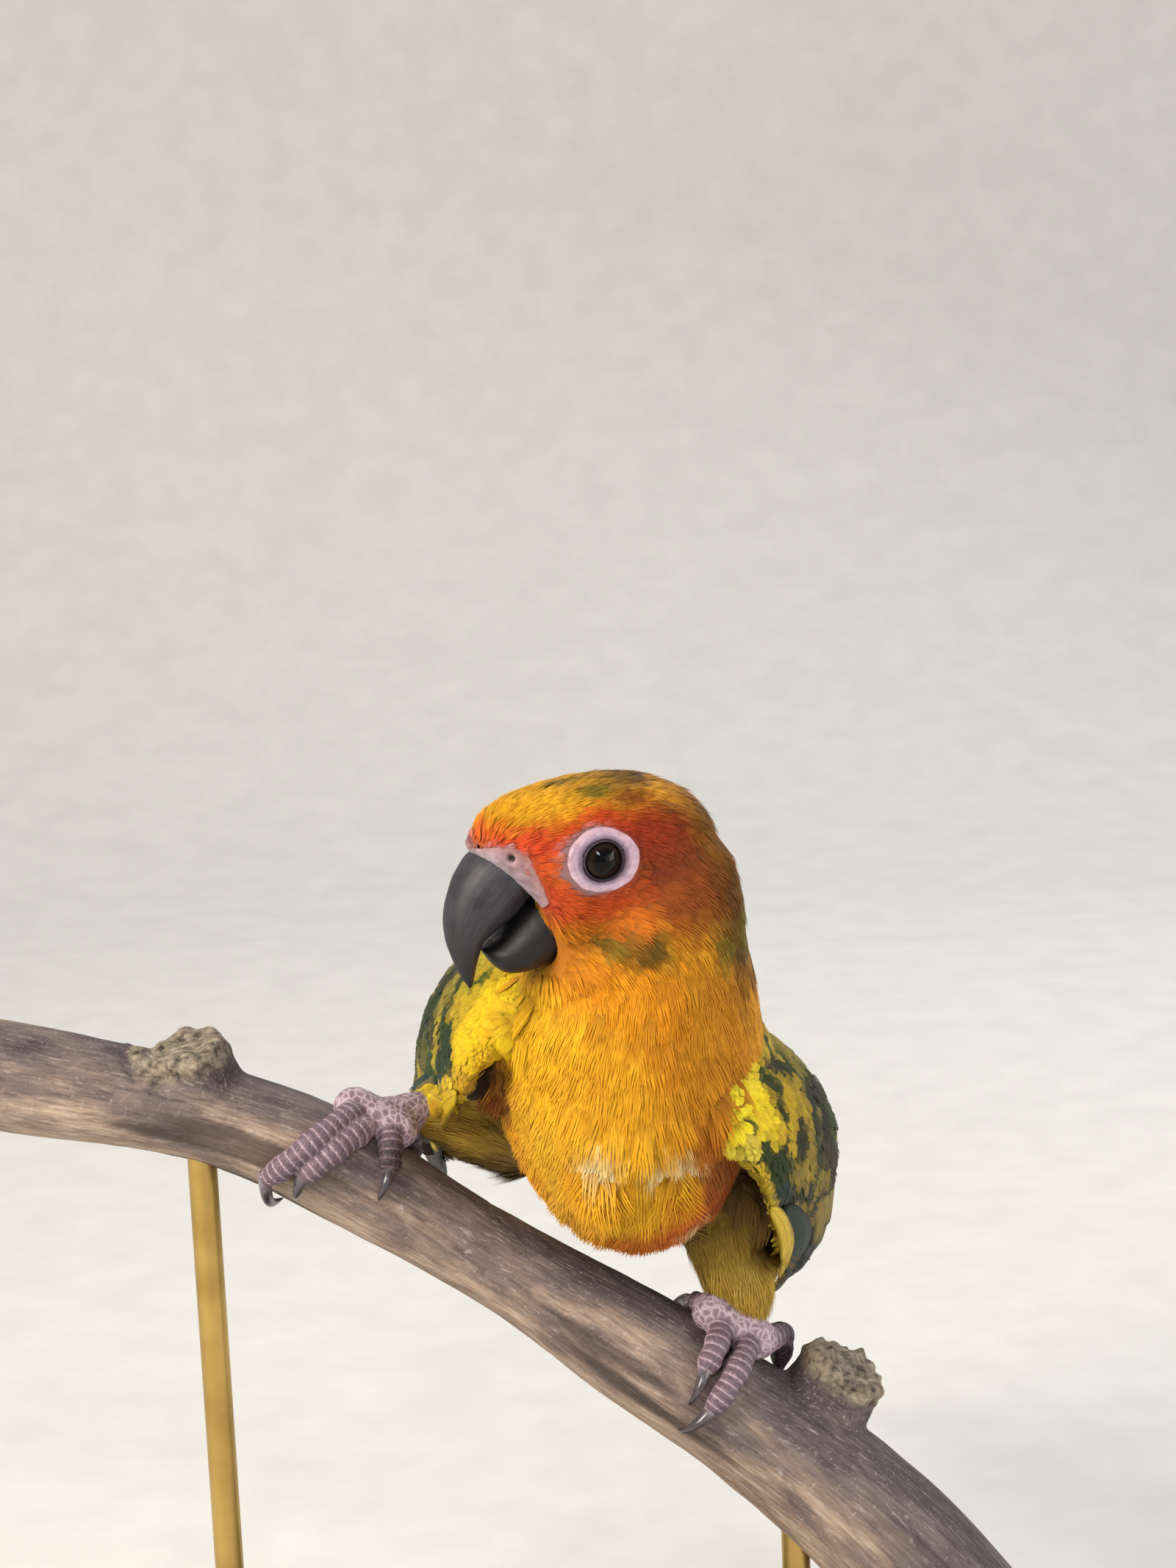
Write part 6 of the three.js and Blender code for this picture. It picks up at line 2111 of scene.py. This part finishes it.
def plates(side):
    """Raises the plates on top of the toes, and stores their places for the colours."""
    foot, piece = FEET[side], feet[side]
    points, out = points_of(piece.data), normals_of(piece.data)
    nearest = np.full(len(points), 99.0)
    run, topward, dark = np.zeros(len(points)), np.zeros(len(points)), np.zeros(len(points))
    share = np.linspace(0, 1, 90)
    for number, toe in foot["toes"].items():
        line, outwards, _ = toe_line(foot["x"], toe, share)
        length = np.linalg.norm(np.diff(line, axis=0), axis=1).sum()
        gap = np.linalg.norm(points[:, None] - line[None], axis=-1)
        spot = gap.argmin(1)
        closer = gap.min(1) < nearest
        nearest = np.where(closer, gap.min(1), nearest)
        run = np.where(closer, share[spot] * length, run)
        topward = np.where(closer, (out * outwards[spot]).sum(1), topward)
        dark = np.where(closer, 1.0 if number in (1, 4) else 0.0, dark)
    on_toe = smooth_step(nearest, 2.9, 2.2) * smooth_step(run, 0.6, 2.4)
    weight = on_toe * smooth_step(topward, -0.25, 0.35)
    ridge = np.abs(np.sin(np.pi * run / PLATE_STEP)) ** 0.6
    push = 0.17 * (ridge - 0.8) * weight + 0.05 * wander(points, 1.4, 81) * (1 - weight)
    move_points(piece.data, points + out * push[:, None])
    store(piece.data, "run", "FLOAT", run / PLATE_STEP)
    store(piece.data, "plated", "FLOAT", weight)
    store(piece.data, "dark", "FLOAT", dark * smooth_step(nearest, 3.2, 2.2) * smooth_step(run, 2, 6))


for side in feet:
    plates(side)

# %% Skin of the feet
# Dry scales catch the light on their pale edges, and the plates between look worn smooth
scaly, tree, shader = new_material(
    "scaly_foot_skin", Roughness=0.5, IOR=1.45, Specular_IOR_Level=0.4, Subsurface_Weight=0.08,
    Subsurface_Radius=FLESH_GLOW, Subsurface_Scale=0.5 * MM)
run, plated, dark = (
    add_node(tree, "Attribute", attribute_name=name, output="Fac")
    for name in ("run", "plated", "dark"))
place = add_node(tree, "TexCoord", output="Object")
uneven = add_node(tree, "TexNoise", place, Scale=900.0, Detail=3.0)
shake = add_node(tree, "Math", uneven, 0.5, operation="SUBTRACT")
wave = add_node(tree, "Math", run, math.pi, operation="MULTIPLY")
wave = add_node(tree, "Math", wave, operation="SINE")
wave = add_node(tree, "Math", wave, operation="ABSOLUTE")
wave = add_node(tree, "Math", shake, 0.5, wave, operation="MULTIPLY_ADD")
plate_colour = add_node(tree, "ValToRGB", wave, stops=[
    (0.0, "#c3adb6"), (0.2, "#a28b97"), (0.4, "#7b6773"), (0.95, "#6c5a66")])
net = add_node(tree, "TexVoronoi", place, feature="DISTANCE_TO_EDGE", Scale=820.0, output="Distance")
net_colour = add_node(tree, "ValToRGB", net, stops=[
    (0.02, "#c9b4bd"), (0.12, "#a68f9c"), (0.35, "#87717e")])
colour = add_node(tree, "Mix", plated, net_colour, plate_colour, **MIXED)
dark = add_node(tree, "Math", dark, 0.75, operation="MULTIPLY")
colour = add_node(tree, "Mix", dark, colour, "#5d484f", **DARKENED)
dust = add_node(tree, "ValToRGB", uneven, stops=[(0.3, "#a89ba2"), (0.6, "#ffffff")])
colour = add_node(tree, "Mix", 0.5, colour, dust, **DARKENED)
relief = add_node(tree, "Math", net, 0.25, operation="MINIMUM")
finish(tree, shader, colour, relief, 0.7, 0.6)
for piece in feet.values():
    piece.data.materials.append(scaly)

# %% Claws
CLAW_RADIUS = 1.35
CLAW_HEIGHT = {"base": 1.5, "arch": 1.2, "fall": 1.2}
CLAW_STEPS, CLAW_SIDES = 26, 18


def claws_of(side):
    """The four claws of a foot, each curved and tapering to a point."""
    foot = FEET[side]
    shells, runs = [], []
    share = np.linspace(-0.12, 1.0, CLAW_STEPS)
    height = CLAW_HEIGHT["base"] + CLAW_HEIGHT["arch"] * np.sin(np.pi * share) - CLAW_HEIGHT["fall"] * share
    radius = CLAW_RADIUS * np.clip(1 - share, 0.004, 1) ** 0.62
    for _, end, claw, _ in foot["toes"].values():
        slide, degrees = (end[k] + (claw[k] - end[k]) * share for k in (0, 1))
        line, outwards = over_branch(foot["x"], slide, degrees, height)
        shells.append(loft_along(line, outwards, radius * 0.8, radius * 1.1, CLAW_SIDES))
        runs += [share[0]] + list(np.repeat(share, CLAW_SIDES)) + [share[-1]]
    piece = mesh_object("claws_of_foot_" + side, *joined(shells))
    reworked(piece.data, face_outwards)
    store(piece.data, "run", "FLOAT", runs)
    return piece


# Horn that use has polished shows a clear narrow shine along the curve
claw_horn, tree, shader = new_material(
    "polished_claw_horn", Roughness=0.3, IOR=1.55, Coat_Weight=0.3, Coat_Roughness=0.12)
run = add_node(tree, "Attribute", attribute_name="run", output="Fac")
place = add_node(tree, "TexCoord", output="Object")
streaks = add_node(tree, "TexNoise", place, Scale=700.0, Detail=3.0)
colour = add_node(tree, "ValToRGB", run, stops=[
    (0.0, "#8a7f86"), (0.2, "#514a50"), (1.0, "#2f2a2e")])
worn = add_node(tree, "ValToRGB", streaks, stops=[(0.35, "#8e8a8d"), (0.65, "#ffffff")])
colour = add_node(tree, "Mix", 0.6, colour, worn, **DARKENED)
finish(tree, shader, colour, streaks, 0.15, 0.1)
claws = {side: claws_of(side) for side in WINGS}
for piece in claws.values():
    piece.data.materials.append(claw_horn)
print("faces in a foot's claws:", len(claws["left"].data.polygons))

# %% [markdown]
# The stand
# A museum would hold such a branch on two rods over a flat base. The base is dark stained wood under
# satin varnish, and the rods and their collars are brushed brass. Nothing on it draws the eye.

# %% Base of the stand
BASE = {"length": 180.0, "width": 108.0, "height": 9.0, "corner": 26.0, "edge": 1.8}


def base_ring(inset, height):
    """The base's outline at one height, drawn in by an inset."""
    corner = BASE["corner"] - inset
    half = (BASE["length"] / 2 - BASE["corner"], BASE["width"] / 2 - BASE["corner"])
    ring = []
    for quarter, (x, y) in enumerate(((1, 1), (-1, 1), (-1, -1), (1, -1))):
        for angle in np.radians(90 * quarter + np.linspace(0, 90, 20)):
            across, deep = corner * math.cos(angle), corner * math.sin(angle)
            ring.append((x * half[0] + across, y * half[1] + deep, height))
    return np.array(ring)


def base_plate():
    """The plate with rounded edges above and below."""
    rings = [base_ring(BASE["edge"] + 20, 0.0)]
    for angle in np.radians(np.linspace(0, 90, 7)):
        rings.append(base_ring(BASE["edge"] * (1 - math.sin(angle)), BASE["edge"] * (1 - math.cos(angle))))
    for angle in np.radians(np.linspace(90, 0, 7)):
        top = BASE["height"] - BASE["edge"] * (1 - math.cos(angle))
        rings.append(base_ring(BASE["edge"] * (1 - math.sin(angle)), top))
    rings.append(base_ring(BASE["edge"] + 20, BASE["height"]))
    points, faces = closed_tube(rings)
    plate = mesh_object("stand_base_plate", points, [face[::-1] for face in faces])
    plate.data.set_sharp_from_angle(angle=math.radians(40))
    return plate


# Satin varnish gives a soft shine, with the grain and open pores of the wood below it
stained, tree, shader = new_material(
    "stained_wood_satin_varnish", Roughness=0.38, IOR=1.5, Coat_Weight=0.25, Coat_Roughness=0.25)
place = add_node(tree, "TexCoord", output="Object")
broad = stretched_noise(tree, place, (4.0, 45.0, 45.0), 1.0, 3.0)
pores = stretched_noise(tree, place, (60.0, 1400.0, 1400.0), 1.0, 2.0)
colour = add_node(tree, "ValToRGB", broad, stops=[
    (0.3, "#241710"), (0.5, "#3d281b"), (0.7, "#523725")])
dark_pores = add_node(tree, "ValToRGB", pores, stops=[(0.35, "#7d7d7d"), (0.55, "#ffffff")])
colour = add_node(tree, "Mix", 0.6, colour, dark_pores, **DARKENED)
finish(tree, shader, colour, pores, 0.15, 0.1)
stand_base = base_plate()
stand_base.data.materials.append(stained)
print("faces in the base:", len(stand_base.data.polygons))

# %% Rods and collars of the stand
RODS = {"left": -66.0, "right": 30.0}
ROD_RADIUS = 2.4
COLLAR = {"radius": 5.5, "height": 4.0, "edge": 0.5}


def turned(name, x, profile, sides=64):
    """A turned piece round an upright line, from (radius, height) pairs."""
    angle = np.linspace(0, 2 * np.pi, sides, endpoint=False)
    rings = [
        np.stack([x + r * np.cos(angle), r * np.sin(angle), np.full(sides, z)], -1)
        for r, z in profile
    ]
    points, faces = closed_tube(rings)
    piece = mesh_object(name, points, [face[::-1] for face in faces])
    piece.data.set_sharp_from_angle(angle=math.radians(40))
    return piece


# Brushing draws a metal's shine out across its fine lines, and tarnish makes it uneven
brass, tree, shader = new_material("brushed_brass", Metallic=1.0, Anisotropic=0.4)
place = add_node(tree, "TexCoord", output="Object")
brushing = stretched_noise(tree, place, (300.0, 300.0, 9000.0), 1.0, 2.0)
tarnish = stretched_noise(tree, place, (60.0, 60.0, 60.0), 1.0, 3.0)
colour = add_node(tree, "ValToRGB", tarnish, stops=[(0.35, "#a98a4a"), (0.6, "#c6a661")])
finish(tree, shader, colour, brushing, 0.1, 0.05)
rough = add_node(tree, "Math", brushing, 0.25, 0.2, operation="MULTIPLY_ADD")
tree.links.new(rough, shader.inputs["Roughness"])
stand_metal = {}
for side, x in RODS.items():
    foot, top = BASE["height"], BASE["height"] + COLLAR["height"]
    radius, edge = COLLAR["radius"], COLLAR["edge"]
    into_branch = float(BRANCH_HEIGHT(x)) - 3.0
    stand_metal["stand_rod_" + side] = turned(
        "stand_rod_brass_" + side, x, [(ROD_RADIUS, top - 0.5), (ROD_RADIUS, into_branch)])
    stand_metal["stand_collar_" + side] = turned("stand_collar_brass_" + side, x, [
        (radius, foot), (radius, top - edge), (radius - edge * 0.3, top - edge * 0.3), (radius - edge, top),
        (ROD_RADIUS + 0.1, top),
    ])
for piece in stand_metal.values():
    piece.data.materials.append(brass)
print("pieces of the stand:", 1 + len(stand_metal))

# %% Which pieces stand for which solids
for piece in [skin, *coat.values(), *eye_rings.values(), *eyes.values(), cere, bill_upper, bill_lower, tongue,
              branch, *feet.values(), *claws.values(), stand_base, *stand_metal.values()]:
    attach(piece, BODY)
STANDS_FOR = [
    (skin, "golden_plumage", FLESH),
    (tail_quills, "tail_plumage", ["tail"]),
    (eyes["left"], "eye", ["eye_left"]),
    (eyes["right"], "eye", ["eye_right"]),
    (cere, "cere_skin", ["cere"]),
    (bill_upper, "bill_horn", ["bill_upper"]),
    (bill_lower, "bill_horn", ["bill_lower"]),
    (tongue, "tongue_skin", ["tongue"]),
    (branch, "bark", ["perch_branch"]),
    (stand_base, "stand_wood", ["stand_base"]),
]
STANDS_FOR += [(piece, "stand_brass", [node]) for node, piece in stand_metal.items()]
for side in WINGS:
    toes = [f"toe_{side}_{number}" for number in FEET[side]["toes"]]
    nails = [f"claw_{side}_{number}" for number in FEET[side]["toes"]]
    STANDS_FOR.append((wing_vanes[side], "wing_plumage", ["wing_" + side]))
    STANDS_FOR.append((feet[side], "foot_scales", ["foot_" + side, *toes]))
    STANDS_FOR.append((claws[side], "claw_horn", nails))
for piece, slot, nodes in STANDS_FOR:
    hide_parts(*nodes)
print("pieces that stand for solids:", len(STANDS_FOR))
